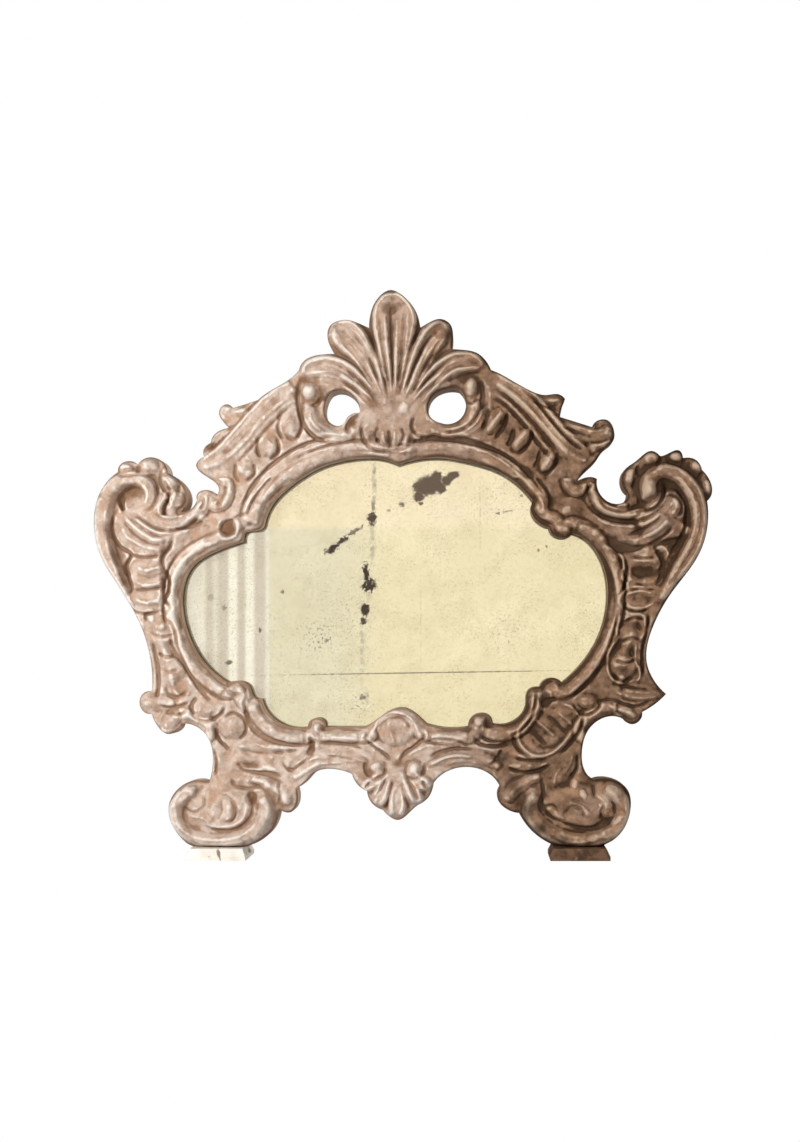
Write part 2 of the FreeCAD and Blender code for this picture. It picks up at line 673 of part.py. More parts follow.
def button_pins():
    pins = []
    for shank, (place, _) in zip(pin_shanks(0), button_places().values()):
        seat = place + BACKWARD * (button_thickness + button_play)
        head = Part.makeCone(pin_head_radius, pin_radius, pin_head_height, seat, BACKWARD)
        pins.append(shank.fuse(head).removeSplitter())
    return Part.makeCompound(pins)


def ring_axis():
    return spot(STAPLE_PIXEL, board_back + staple_stand)


def staple_wire_form(clearance):
    """The staple: two legs one above the other, joined by a half round eye."""
    eye = ring_wire + ring_play + staple_wire
    axis = ring_axis()
    root = BACKWARD * -(staple_stand + staple_depth + clearance)
    top = axis + UP * eye
    low = axis - UP * eye
    path = Part.Wire([
        Part.makeLine(top + root, top),
        Part.Arc(top, axis + BACKWARD * eye, low).toShape(),
        Part.makeLine(low, low + root),
    ])
    section = Part.Wire(Part.makeCircle(staple_wire + clearance, top + root, BACKWARD))
    return path.makePipeShell([section], True, False)


def hanging_ring():
    return Part.makeTorus(ring_radius, ring_wire, ring_axis() - UP * ring_radius, BACKWARD)


# Plinths

def plinth(side):
    foot = spot(PLINTH_PIXELS[side], 0)
    levels = [(0, 1), (plinth_tread, 1), (plinth_height, PLINTH_TOP_SHARE)]
    rings = []
    for height, size_share in levels:
        wide = ACROSS * (plinth_width * size_share / 2)
        deep = BACKWARD * (plinth_depth * size_share / 2)
        level = foot + UP * height
        corners = [level - wide - deep, level + wide - deep, level + wide + deep, level - wide + deep]
        rings.append(Part.makePolygon(corners + corners[:1]))
    return Part.makeLoft(rings, True, True)


def all_pieces():
    pieces = boards()
    pieces.update(carvings())
    pieces["mirror_glass"] = rebate_plate(glass_front, glass_back)
    pieces["mercury_amalgam"] = rebate_plate(glass_back, amalgam_back)
    pieces.update(planks())
    pieces.update(turn_buttons())
    pieces["button_pins"] = button_pins()
    pieces["hanging_staple"] = staple_wire_form(0)
    pieces["hanging_ring"] = hanging_ring()
    pieces["joint_dowels"] = Part.makeCompound(dowel_rods(0))
    pieces["left_plinth"] = plinth("left")
    pieces["right_plinth"] = plinth("right")
    return pieces


os.makedirs("parts", exist_ok=True)
for piece_name, piece_shape in all_pieces().items():
    piece_shape.exportStep("parts/" + piece_name + ".step")
    solids = piece_shape.Solids
    print(piece_name, len(solids), round(piece_shape.Volume, 1), piece_shape.isValid())
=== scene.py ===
import json

import bpy
import numpy as np
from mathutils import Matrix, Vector, kdtree


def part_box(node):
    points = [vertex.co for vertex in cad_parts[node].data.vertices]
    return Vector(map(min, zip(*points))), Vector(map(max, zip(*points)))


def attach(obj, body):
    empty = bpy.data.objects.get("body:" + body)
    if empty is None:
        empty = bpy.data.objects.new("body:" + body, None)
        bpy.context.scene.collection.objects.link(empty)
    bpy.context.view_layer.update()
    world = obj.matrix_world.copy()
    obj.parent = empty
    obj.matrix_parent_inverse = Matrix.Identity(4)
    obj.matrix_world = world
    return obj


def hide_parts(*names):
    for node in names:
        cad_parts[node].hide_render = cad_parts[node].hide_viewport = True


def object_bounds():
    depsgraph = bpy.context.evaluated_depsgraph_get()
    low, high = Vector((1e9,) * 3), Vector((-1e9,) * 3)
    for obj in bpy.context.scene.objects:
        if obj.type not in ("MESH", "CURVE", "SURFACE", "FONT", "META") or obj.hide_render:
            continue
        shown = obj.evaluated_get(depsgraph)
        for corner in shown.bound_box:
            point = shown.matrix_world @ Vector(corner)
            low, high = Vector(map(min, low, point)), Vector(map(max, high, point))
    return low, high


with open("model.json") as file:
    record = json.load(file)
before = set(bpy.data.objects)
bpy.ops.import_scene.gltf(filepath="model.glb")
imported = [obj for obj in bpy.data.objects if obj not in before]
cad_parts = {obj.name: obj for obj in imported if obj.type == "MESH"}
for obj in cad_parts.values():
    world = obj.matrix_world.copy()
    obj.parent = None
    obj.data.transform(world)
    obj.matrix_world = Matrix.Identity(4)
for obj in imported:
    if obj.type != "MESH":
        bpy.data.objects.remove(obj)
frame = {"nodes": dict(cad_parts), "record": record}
CAD_LOW, CAD_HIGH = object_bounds()

MM = 0.001

# The photograph's frame, as in the part's source, and the real size of its pixels
FOOT_CENTRE_PIXEL = (403.0, 858.0)
SPAN_PIXELS = (618.0, 568.0)
IMAGE_PIXELS = (800.0, 1142.0)
ACROSS_PER_PIXEL = (CAD_HIGH.x - CAD_LOW.x) / SPAN_PIXELS[0]
UP_PER_PIXEL = (CAD_HIGH.z - CAD_LOW.z) / SPAN_PIXELS[1]
BOARD_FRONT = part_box("crest_board")[0].y

# The grid that the carving is worked on, in pixels
CELL = 0.75
GRID_LOW_PIXEL = (88.0, 284.0)
GRID_HIGH_PIXEL = (718.0, 862.0)
GRID_X = np.arange(GRID_LOW_PIXEL[0], GRID_HIGH_PIXEL[0], CELL)
GRID_Y = np.arange(GRID_LOW_PIXEL[1], GRID_HIGH_PIXEL[1], CELL)
GRID_SHAPE = (len(GRID_Y), len(GRID_X))

SLOTS = {row["node"]: row["material_slot"] for row in frame["record"]["subparts"]}
CARVINGS = sorted(node for node, slot in SLOTS.items() if slot == "gilt_wood")
BOARDS = sorted(node for node, slot in SLOTS.items() if slot == "frame_wood")

# Carved strokes: height in mm, half width in pixels and the course. Ridges rise, grooves sink.
PALMETTE_STROKES = [
    (2.0, 3.4, [(386, 394), (380, 360), (375, 330), (376, 309), (385, 298), (397, 297), (408, 305),
                (415, 319), (413, 338), (406, 366), (401, 392)]),
    (1.8, 2.6, [(385, 312), (387, 340), (390, 370), (393, 400)]),
    (1.8, 2.6, [(397, 309), (397, 335), (396, 365), (396, 400)]),
    (-2.6, 2.6, [(391, 306), (391.5, 335), (393, 365), (394, 392)]),
    (-2.8, 3.4, [(405, 308), (404, 335), (401, 365), (398, 392)]),
    (-2.4, 2.4, [(380, 315), (382, 340), (386, 366), (390, 390)]),
    (-2.6, 2.2, [(370, 329), (377, 350), (384, 378), (389, 400)]),
    (-2.6, 2.2, [(420, 329), (411, 350), (404, 378), (399, 400)]),
    (2.0, 3.2, [(341, 350), (332, 340), (332, 328), (342, 322), (354, 325), (364, 335), (373, 353),
                (380, 376), (387, 400)]),
    (1.8, 2.5, [(342, 335), (354, 345), (366, 362), (377, 384), (385, 404)]),
    (-2.4, 2.6, [(348, 331), (360, 343), (371, 362), (381, 387)]),
    (-2.4, 2.5, [(341, 343), (353, 354), (365, 370), (377, 392)]),
    (-2.6, 2.2, [(337, 354), (352, 363), (366, 379), (380, 400)]),
    (1.8, 3.2, [(303, 374), (309, 362), (324, 357), (343, 362), (359, 374), (373, 390), (383, 405)]),
    (1.7, 2.5, [(316, 369), (334, 371), (350, 381), (366, 395), (379, 409)]),
    (1.6, 2.6, [(311, 380), (330, 382), (347, 389), (361, 401), (373, 413)]),
    (-2.4, 2.4, [(312, 366), (329, 364), (347, 371), (364, 385), (378, 402)]),
    (-2.4, 2.4, [(314, 376), (333, 377), (350, 387), (365, 400)]),
    (2.0, 3.0, [(449, 347), (450, 333), (443, 324), (433, 328), (424, 338), (415, 355), (407, 380),
                (402, 400)]),
    (1.8, 2.4, [(441, 334), (430, 345), (418, 368), (409, 390), (404, 404)]),
    (-2.4, 2.4, [(434, 335), (424, 348), (414, 370), (406, 392)]),
    (-2.4, 2.4, [(446, 336), (435, 351), (423, 372), (412, 394)]),
    (-2.6, 2.2, [(452, 350), (440, 358), (425, 376), (410, 399)]),
    (1.8, 3.0, [(487, 369), (478, 358), (465, 353), (450, 357), (436, 367), (422, 383), (410, 402)]),
    (1.7, 2.4, [(472, 363), (453, 365), (437, 377), (421, 393), (411, 407)]),
    (1.6, 2.4, [(474, 373), (458, 372), (444, 382), (430, 394), (419, 408)]),
    (-2.4, 2.3, [(474, 358), (455, 360), (438, 371), (423, 387), (412, 402)]),
    (-2.4, 2.3, [(472, 368), (456, 369), (441, 379), (427, 393)]),
]
CREST_STROKES = [
    (-4.0, 3.0, [(303, 376), (298, 392), (300, 412), (307, 429), (318, 439), (333, 443)]),
    (-3.0, 3.0, [(320, 384), (322, 396), (317, 405), (308, 406)]),
    (1.6, 3.2, [(309, 408), (313, 423), (325, 434), (340, 437), (354, 432)]),
    (-4.0, 4.0, [(361, 414), (351, 421), (348, 430), (353, 436)]),
    (-3.5, 3.0, [(475, 374), (482, 386), (482, 402), (477, 417), (467, 428), (452, 433), (436, 431)]),
    (1.6, 2.8, [(488, 384), (490, 402), (485, 420), (473, 433), (458, 438)]),
    (-2.6, 2.6, [(465, 402), (472, 404), (478, 399)]),
    (-3.0, 3.0, [(417, 415), (412, 424), (414, 433), (424, 438), (440, 436)]),
    (-3.2, 3.0, [(365, 420), (362, 432), (366, 444), (376, 451), (390, 452), (403, 450), (412, 443)]),
    (-2.6, 2.4, [(380, 427), (376, 436), (381, 445)]),
    (-2.6, 2.4, [(401, 427), (404, 437), (399, 446)]),
    (2.0, 2.6, [(384, 431), (384, 439), (387, 447)]),
    (2.0, 2.6, [(395, 431), (395, 440), (394, 448)]),
    (-2.6, 2.2, [(389, 430), (390, 440), (391, 448)]),
]
SHOULDER_STROKES = [
    (-2.8, 2.6, [(268, 392), (252, 408), (236, 427), (218, 446), (204, 459)]),
    (1.4, 2.6, [(289, 388), (271, 402), (253, 420), (236, 439), (219, 455)]),
    (1.4, 2.6, [(297, 394), (279, 408), (261, 426), (244, 446), (226, 463)]),
    (-2.0, 2.2, [(293, 391), (275, 405), (257, 423), (240, 443), (222, 459)]),
    (-2.6, 2.6, [(299, 402), (283, 414), (266, 432), (250, 451), (234, 468)]),
    (-3.2, 2.6, [(300, 412), (302, 428), (296, 441)]),
    (-3.0, 2.6, [(281, 415), (279, 430), (284, 441)]),
    (-3.0, 2.6, [(277, 437), (279, 450), (270, 461)]),
    (-3.0, 2.6, [(259, 438), (258, 451), (262, 459)]),
    (-2.6, 2.6, [(254, 462), (255, 474), (246, 482)]),
    (-2.6, 2.6, [(237, 464), (236, 476), (241, 483)]),
    (-2.0, 2.4, [(252, 402), (240, 409), (229, 411)]),
    (-2.0, 2.4, [(236, 424), (225, 433), (214, 440)]),
    (-3.0, 2.8, [(522, 388), (537, 403), (552, 423), (570, 442), (592, 455)]),
    (1.2, 2.6, [(500, 378), (521, 393), (540, 412), (557, 432), (577, 449)]),
    (1.2, 2.6, [(494, 384), (515, 399), (533, 418), (550, 438), (569, 456)]),
    (1.2, 2.2, [(489, 391), (509, 405), (527, 424), (543, 444), (562, 463)]),
    (-1.4, 2.2, [(497, 381), (518, 396), (537, 415), (554, 435), (573, 452)]),
    (-1.4, 2.2, [(492, 388), (512, 402), (530, 421), (547, 441), (566, 459)]),
    (-2.2, 2.8, [(492, 398), (503, 404), (520, 421), (537, 443), (556, 466)]),
    (-3.0, 3.0, [(507, 412), (504, 426), (494, 440)]),
    (-3.0, 3.0, [(489, 408), (486, 420), (482, 430)]),
    (-3.0, 3.0, [(532, 432), (528, 444), (518, 455)]),
    (-3.0, 3.0, [(514, 428), (511, 440), (506, 447)]),
    (-2.8, 2.8, [(557, 455), (553, 467), (545, 476)]),
    (-2.8, 2.8, [(540, 450), (537, 462), (533, 468)]),
    (1.2, 2.2, [(538, 398), (548, 402), (559, 401)]),
    (-2.4, 2.2, [(533, 402), (545, 408), (557, 410)]),
    (1.4, 2.4, [(562, 422), (578, 427), (592, 432), (606, 430)]),
    (-2.4, 2.2, [(561, 427), (578, 433), (594, 439)]),
    (1.2, 2.2, [(564, 432), (579, 438), (594, 445)]),
    (2.6, 4.2, [(486, 434), (495, 423), (504, 411)]),
    (2.6, 4.2, [(513, 447), (522, 438), (531, 427)]),
    (2.4, 4.2, [(540, 472), (547, 464), (553, 454)]),
    (-2.2, 2.4, [(583, 419), (592, 425), (601, 424)]),
]
EAR_STROKES = [
    (-4.0, 2.8, [(122, 507), (115, 520), (115, 535), (122, 547), (133, 555), (128, 566), (131, 578),
                 (134, 590), (128, 598)]),
    (-6.0, 3.4, [(124, 496), (123, 505), (127, 513)]),
    (-3.6, 2.6, [(130, 512), (145, 521), (160, 530), (177, 531), (192, 524), (204, 512)]),
    (-2.6, 2.4, [(158, 514), (170, 521), (184, 518)]),
    (1.6, 2.6, [(145, 486), (150, 495), (148, 506)]),
    (-2.6, 2.6, [(157, 484), (160, 496), (156, 508), (146, 514)]),
    (1.4, 2.6, [(160, 474), (172, 486), (176, 499), (170, 511)]),
    (-2.4, 2.4, [(166, 480), (171, 492), (167, 506)]),
    (1.2, 2.4, [(172, 477), (182, 487), (183, 499)]),
    (-2.0, 2.2, [(168, 470), (178, 482), (180, 496)]),
    (-2.6, 2.6, [(139, 466), (140, 474)]),
    (-2.4, 2.4, [(118, 476), (128, 477), (143, 476), (157, 479)]),
    (-3.4, 2.8, [(204, 497), (205, 505), (201, 511)]),
    (1.4, 2.4, [(199, 507), (199, 496), (206, 491), (213, 497)]),
    (-4.0, 4.0, [(227, 484), (225, 495), (219, 508)]),
    (1.0, 2.0, [(112, 500), (109, 520), (111, 545), (119, 569), (129, 591)]),
    (-3.4, 2.6, [(662, 481), (663, 494), (655, 508), (641, 512)]),
    (-3.4, 2.6, [(667, 487), (677, 490), (685, 503), (685, 522), (679, 540), (668, 557)]),
    (1.2, 2.4, [(664, 466), (680, 471), (693, 484), (702, 503), (704, 523), (698, 547), (685, 569),
                (670, 588)]),
    (-1.6, 2.2, [(665, 470), (679, 477), (690, 489), (698, 505), (699, 524), (693, 546), (680, 567),
                 (667, 585)]),
    (1.2, 2.4, [(667, 477), (679, 483), (690, 499), (693, 521), (687, 544), (675, 564), (662, 582)]),
    (-3.0, 2.6, [(597, 497), (606, 508), (622, 512), (638, 507)]),
    (-3.0, 2.6, [(590, 508), (605, 518), (625, 522), (645, 519), (660, 508), (668, 497)]),
    (1.4, 2.4, [(592, 503), (606, 513), (624, 517), (642, 513), (656, 503)]),
    (1.4, 2.4, [(589, 514), (606, 524), (627, 527), (648, 523), (664, 512), (674, 500)]),
    (-2.6, 2.6, [(583, 500), (587, 490), (593, 484)]),
    (-2.4, 2.4, [(660, 457), (656, 467), (648, 474)]),
    (-2.2, 2.4, [(684, 460), (681, 469)]),
    (-2.2, 2.4, [(702, 472), (697, 480)]),
    (-2.4, 2.4, [(639, 464), (634, 476), (633, 490)]),
    (-2.6, 2.4, [(664, 498), (671, 496), (679, 502), (680, 512), (674, 519)]),
]
HUSK_STROKES = [
    (-4.5, 3.2, [(176, 534), (172, 546), (164, 558), (166, 570), (171, 581), (170, 592), (166, 600),
                 (172, 608), (165, 616)]),
    (-4.0, 2.8, [(162, 616), (173, 624), (177, 636), (179, 648), (186, 664), (194, 680), (205, 695),
                 (214, 703)]),
    (-3.2, 2.4, [(132, 555), (147, 558), (163, 556)]),
    (-3.2, 2.4, [(133, 590), (149, 590), (167, 587)]),
    (-3.4, 2.4, [(129, 600), (133, 610), (148, 614), (164, 611)]),
    (-2.8, 2.2, [(148, 622), (147, 615), (154, 613)]),
    (-2.8, 2.4, [(150, 632), (163, 637), (174, 635)]),
    (-2.8, 2.4, [(158, 653), (168, 657), (178, 655)]),
    (-3.6, 2.8, [(153, 640), (156, 655), (159, 672), (159, 690), (156, 702)]),
    (2.0, 3.4, [(121, 524), (131, 538), (147, 548), (164, 551)]),
    (2.0, 3.4, [(126, 516), (140, 530), (155, 540), (170, 541)]),
    (1.6, 3.0, [(138, 519), (150, 528), (163, 534), (173, 532)]),
    (-2.4, 2.4, [(123, 519), (136, 534), (151, 544), (168, 546)]),
    (-2.0, 2.4, [(132, 517), (146, 529), (160, 537), (172, 537)]),
    (1.8, 3.2, [(137, 566), (150, 571), (166, 566)]),
    (-2.0, 2.4, [(137, 574), (151, 579), (167, 574)]),
    (1.6, 3.0, [(137, 582), (151, 586), (168, 581)]),
    (1.8, 3.6, [(133, 598), (148, 603), (166, 600)]),
    (-2.0, 2.2, [(161, 668), (170, 672), (181, 669)]),
    (-2.4, 2.4, [(165, 684), (169, 694), (178, 697), (190, 690)]),
    (-4.5, 4.0, [(604, 543), (618, 546), (632, 549), (643, 546)]),
    (-3.8, 3.0, [(623, 556), (626, 570), (624, 585), (621, 594)]),
    (3.0, 4.2, [(630, 542), (645, 537), (658, 530), (668, 519)]),
    (-3.0, 2.6, [(634, 549), (650, 544), (664, 535), (674, 524)]),
    (-3.0, 2.6, [(626, 536), (642, 530), (655, 522), (662, 513)]),
    (2.6, 3.6, [(668, 517), (674, 510), (675, 503), (671, 498)]),
    (1.6, 2.4, [(650, 553), (661, 547), (667, 554), (664, 560)]),
    (-3.0, 2.4, [(631, 557), (644, 559), (655, 557)]),
    (-2.8, 2.4, [(661, 560), (661, 575), (655, 585), (643, 586), (632, 582)]),
    (-3.0, 2.4, [(628, 591), (643, 589), (656, 589)]),
    (1.2, 2.2, [(619, 602), (628, 594), (643, 592), (655, 596)]),
    (-2.8, 2.4, [(621, 606), (634, 612), (648, 609)]),
    (-2.8, 2.4, [(622, 622), (634, 618), (645, 620)]),
    (-2.8, 2.4, [(619, 642), (632, 638), (641, 641)]),
    (-2.8, 2.4, [(613, 660), (625, 663), (636, 659)]),
    (-2.8, 2.4, [(611, 674), (622, 681), (634, 677)]),
    (-4.0, 3.0, [(648, 610), (646, 630), (642, 650), (642, 668), (640, 680)]),
    (3.2, 2.4, [(612, 549), (623, 560), (622, 577), (626, 587), (618, 601), (626, 612)]),
    (2.6, 2.2, [(661, 560), (661, 578), (653, 586), (640, 587), (627, 588)]),
    (2.4, 2.2, [(626, 594), (643, 589), (659, 588)]),
    (2.2, 2.2, [(624, 606), (640, 609), (653, 603)]),
    (2.4, 2.2, [(626, 613), (642, 616), (645, 631), (637, 642)]),
    (2.4, 2.2, [(620, 617), (616, 628), (617, 639), (609, 650), (607, 664), (609, 675),
                (618, 683), (635, 685)]),
    (2.6, 2.4, [(635, 641), (635, 660), (640, 673), (636, 683)]),
    (1.8, 3.0, [(610, 690), (630, 697), (648, 698), (660, 695)]),
    (-2.4, 2.4, [(612, 700), (632, 706), (648, 703)]),
    (1.5, 2.6, [(606, 704), (622, 711), (636, 715)]),
    (-2.4, 2.4, [(614, 684), (634, 688), (650, 690)]),
    (-3.6, 2.8, [(616, 606), (615, 625), (609, 645), (600, 664), (588, 681), (573, 694), (560, 699)]),
]
LEG_STROKES = [
    (-3.2, 2.4, [(160, 706), (175, 707), (191, 702)]),
    (-2.8, 2.4, [(166, 712), (180, 714), (190, 710)]),
    (-3.4, 2.6, [(199, 694), (192, 706), (196, 717), (209, 721), (221, 714), (227, 704)]),
    (-3.6, 2.6, [(215, 724), (217, 736), (224, 744), (230, 750)]),
    (-2.6, 2.4, [(224, 717), (235, 713), (245, 720), (246, 732), (238, 741)]),
    (-4.2, 2.8, [(247, 692), (246, 708), (249, 722), (257, 733), (270, 740), (288, 744), (305, 745)]),
    (-4.0, 2.8, [(226, 684), (238, 680), (247, 688)]),
    (1.4, 2.4, [(243, 690), (246, 697), (241, 703)]),
    (-3.4, 2.6, [(214, 748), (217, 762), (216, 777)]),
    (-3.2, 2.6, [(236, 760), (243, 769), (256, 772), (272, 773), (284, 778)]),
    (-2.4, 2.8, [(231, 777), (237, 786), (250, 788), (262, 786)]),
    (-1.8, 3.0, [(240, 748), (262, 753), (284, 752), (300, 750)]),
    (-2.4, 3.4, [(309, 735), (313, 746), (308, 757)]),
    (-4.0, 2.8, [(548, 700), (556, 699)]),
    (3.4, 2.6, [(541, 703), (530, 716), (518, 731), (521, 745), (534, 755), (551, 753),
                (566, 739), (580, 717)]),
    (2.4, 2.4, [(580, 717), (573, 708), (562, 703)]),
    (-2.4, 2.4, [(512, 733), (516, 747), (531, 760)]),
    (2.4, 2.6, [(535, 719), (545, 728), (556, 738)]),
    (2.0, 2.4, [(556, 712), (566, 719), (573, 726)]),
    (-2.6, 3.0, [(528, 726), (537, 736), (547, 746)]),
    (-2.4, 3.0, [(547, 715), (558, 725), (566, 733)]),
    (-3.8, 3.0, [(582, 716), (580, 728), (571, 742), (560, 754)]),
    (-3.0, 2.4, [(571, 701), (577, 711), (588, 714), (598, 707), (600, 697)]),
    (1.4, 2.4, [(572, 752), (570, 763), (563, 774)]),
    (-3.2, 2.6, [(577, 752), (576, 768), (569, 779)]),
    (-3.0, 2.6, [(551, 764), (536, 771), (519, 771), (506, 767)]),
    (-2.8, 2.4, [(545, 759), (530, 760), (515, 758)]),
    (1.4, 2.6, [(508, 765), (516, 766), (522, 764)]),
    (1.2, 2.4, [(525, 765), (537, 766), (549, 762)]),
    (1.2, 2.4, [(553, 784), (556, 773), (562, 766)]),
    (-2.6, 2.4, [(541, 781), (543, 792), (540, 802)]),
    (-4.0, 3.0, [(473, 736), (480, 744), (494, 746), (510, 744)]),
    (-3.6, 3.0, [(536, 690), (535, 704), (530, 718), (520, 730), (508, 738)]),
    (1.8, 4.0, [(234, 778), (250, 780), (268, 781)]),
    (1.6, 4.0, [(236, 766), (247, 768), (258, 767)]),
    (1.6, 3.6, [(252, 742), (270, 747), (290, 747)]),
    (1.6, 4.0, [(508, 752), (526, 757), (546, 757)]),
    (1.4, 3.4, [(500, 762), (494, 772), (498, 781)]),
    (-2.4, 2.2, [(502, 748), (497, 758), (489, 766)]),
    (2.4, 4.4, [(290, 779), (300, 775), (312, 766), (326, 761)]),
    (-2.6, 2.6, [(280, 759), (290, 770), (300, 765), (311, 757), (319, 751)]),
    (-2.6, 2.2, [(279, 781), (281, 792), (280, 803)]),
]
FOOT_STROKES = [
    (-2.4, 2.8, [(206, 792), (206, 805), (197, 811), (187, 808)]),
    (-2.2, 2.8, [(258, 790), (254, 803), (252, 815), (241, 826), (222, 829), (204, 824)]),
    (2.2, 2.8, [(249, 800), (247, 813), (238, 823), (222, 826), (208, 822)]),
    (-2.6, 2.6, [(222, 794), (232, 797), (238, 808), (235, 818), (226, 822)]),
    (1.6, 5.0, [(218, 799), (216, 811), (211, 820)]),
    (1.6, 5.0, [(229, 801), (231, 811), (228, 821)]),
    (-1.8, 2.2, [(223, 797), (224, 809), (220, 821)]),
    (1.4, 2.6, [(192, 815), (205, 817), (214, 822)]),
    (-1.6, 2.4, [(190, 838), (212, 846), (236, 845), (254, 838)]),
    (1.0, 2.4, [(178, 806), (181, 822), (194, 834), (214, 838), (238, 836), (256, 827)]),
    (-2.2, 2.6, [(592, 783), (594, 796), (602, 803), (600, 813), (604, 820)]),
    (-2.4, 2.8, [(541, 802), (548, 813), (560, 820), (577, 826), (592, 827), (604, 819)]),
    (-2.0, 2.6, [(543, 806), (552, 804), (560, 811)]),
    (-2.0, 2.6, [(562, 814), (571, 806), (580, 809), (584, 820)]),
    (-1.8, 2.6, [(568, 797), (582, 802), (592, 811)]),
    (-1.6, 2.4, [(546, 833), (568, 843), (590, 842), (608, 836)]),
]
SIGHT_STROKES = [
    (-3.6, 2.6, [(350, 441), (330, 438), (302, 446), (276, 462), (256, 482), (244, 504), (240, 520)]),
    (-3.2, 2.4, [(440, 438), (458, 438), (481, 444), (507, 457), (530, 477), (546, 498)]),
    (1.4, 2.2, [(345, 446), (330, 444), (305, 452), (281, 467), (262, 486), (250, 506)]),
    (-2.0, 2.0, [(335, 450), (308, 458), (286, 471), (268, 489), (257, 506)]),
    (1.2, 2.0, [(452, 444), (478, 450), (503, 463), (525, 482), (540, 500)]),
    (-3.0, 2.6, [(590, 545), (603, 560), (612, 580), (614, 604), (610, 628)]),
    (-2.6, 2.4, [(196, 548), (181, 560), (171, 580), (168, 604)]),
    (1.6, 2.4, [(236, 518), (241, 527), (237, 536)]),
    (-3.4, 2.8, [(534, 500), (532, 511), (540, 520), (552, 524)]),
    (1.6, 2.4, [(538, 497), (543, 506), (541, 515)]),
]
RAIL_STROKES = [
    (-3.2, 2.6, [(372, 727), (367, 737), (373, 745), (383, 752), (392, 761)]),
    (-3.2, 2.6, [(420, 727), (424, 737), (415, 746), (405, 753), (399, 762)]),
    (1.6, 2.4, [(363, 735), (374, 743), (386, 752)]),
    (1.4, 2.4, [(437, 742), (421, 748), (406, 756)]),
    (2.0, 2.6, [(377, 735), (377, 722), (386, 714), (398, 712), (409, 717), (415, 727), (413, 737)]),
    (-2.4, 2.4, [(383, 736), (382, 725), (390, 719), (401, 718), (409, 725), (408, 735)]),
    (-2.6, 2.4, [(321, 742), (337, 742), (352, 745), (366, 750)]),
    (1.4, 2.6, [(322, 748), (340, 749), (357, 753), (372, 758)]),
    (-2.4, 2.4, [(326, 756), (341, 757), (356, 760)]),
    (-2.6, 2.4, [(474, 750), (458, 748), (442, 751), (428, 757)]),
    (1.4, 2.6, [(472, 756), (456, 755), (442, 758), (430, 765)]),
    (-2.6, 2.4, [(427, 740), (444, 739), (461, 742), (470, 748)]),
    (-3.2, 2.6, [(366, 760), (366, 771), (374, 778), (384, 775), (386, 766)]),
    (-3.2, 2.6, [(425, 761), (424, 772), (416, 778), (407, 775), (406, 766)]),
    (-3.0, 2.4, [(388, 776), (381, 789), (373, 800)]),
    (-3.0, 2.4, [(394, 778), (390, 795), (386, 809)]),
    (-3.0, 2.4, [(401, 778), (405, 795), (409, 810)]),
    (-3.0, 2.4, [(407, 776), (414, 788), (421, 801)]),
    (1.4, 2.2, [(391, 778), (386, 791), (380, 804)]),
    (1.4, 2.2, [(397, 779), (398, 797), (398, 814)]),
    (1.4, 2.2, [(404, 777), (410, 790), (415, 804)]),
    (-2.8, 2.4, [(371, 780), (366, 789)]),
    (1.4, 3.0, [(330, 737), (348, 738), (364, 741)]),
    (1.4, 3.0, [(430, 746), (446, 744), (462, 747)]),
    (1.6, 2.6, [(306, 772), (320, 764), (338, 763), (354, 767)]),
    (1.6, 2.6, [(440, 768), (456, 761), (474, 762), (488, 769)]),
    (-1.8, 2.2, [(306, 764), (316, 760), (330, 761)]),
    (-2.8, 2.4, [(423, 780), (427, 788)]),
    (1.4, 3.4, [(388, 719), (391, 731), (395, 744)]),
    (1.0, 3.0, [(406, 720), (403, 731), (399, 744)]),
    (2.2, 3.0, [(431, 764), (446, 757), (461, 755), (474, 758)]),
]
STROKES = (PALMETTE_STROKES + CREST_STROKES + SHOULDER_STROKES + EAR_STROKES + HUSK_STROKES
           + LEG_STROKES + FOOT_STROKES + SIGHT_STROKES + RAIL_STROKES)

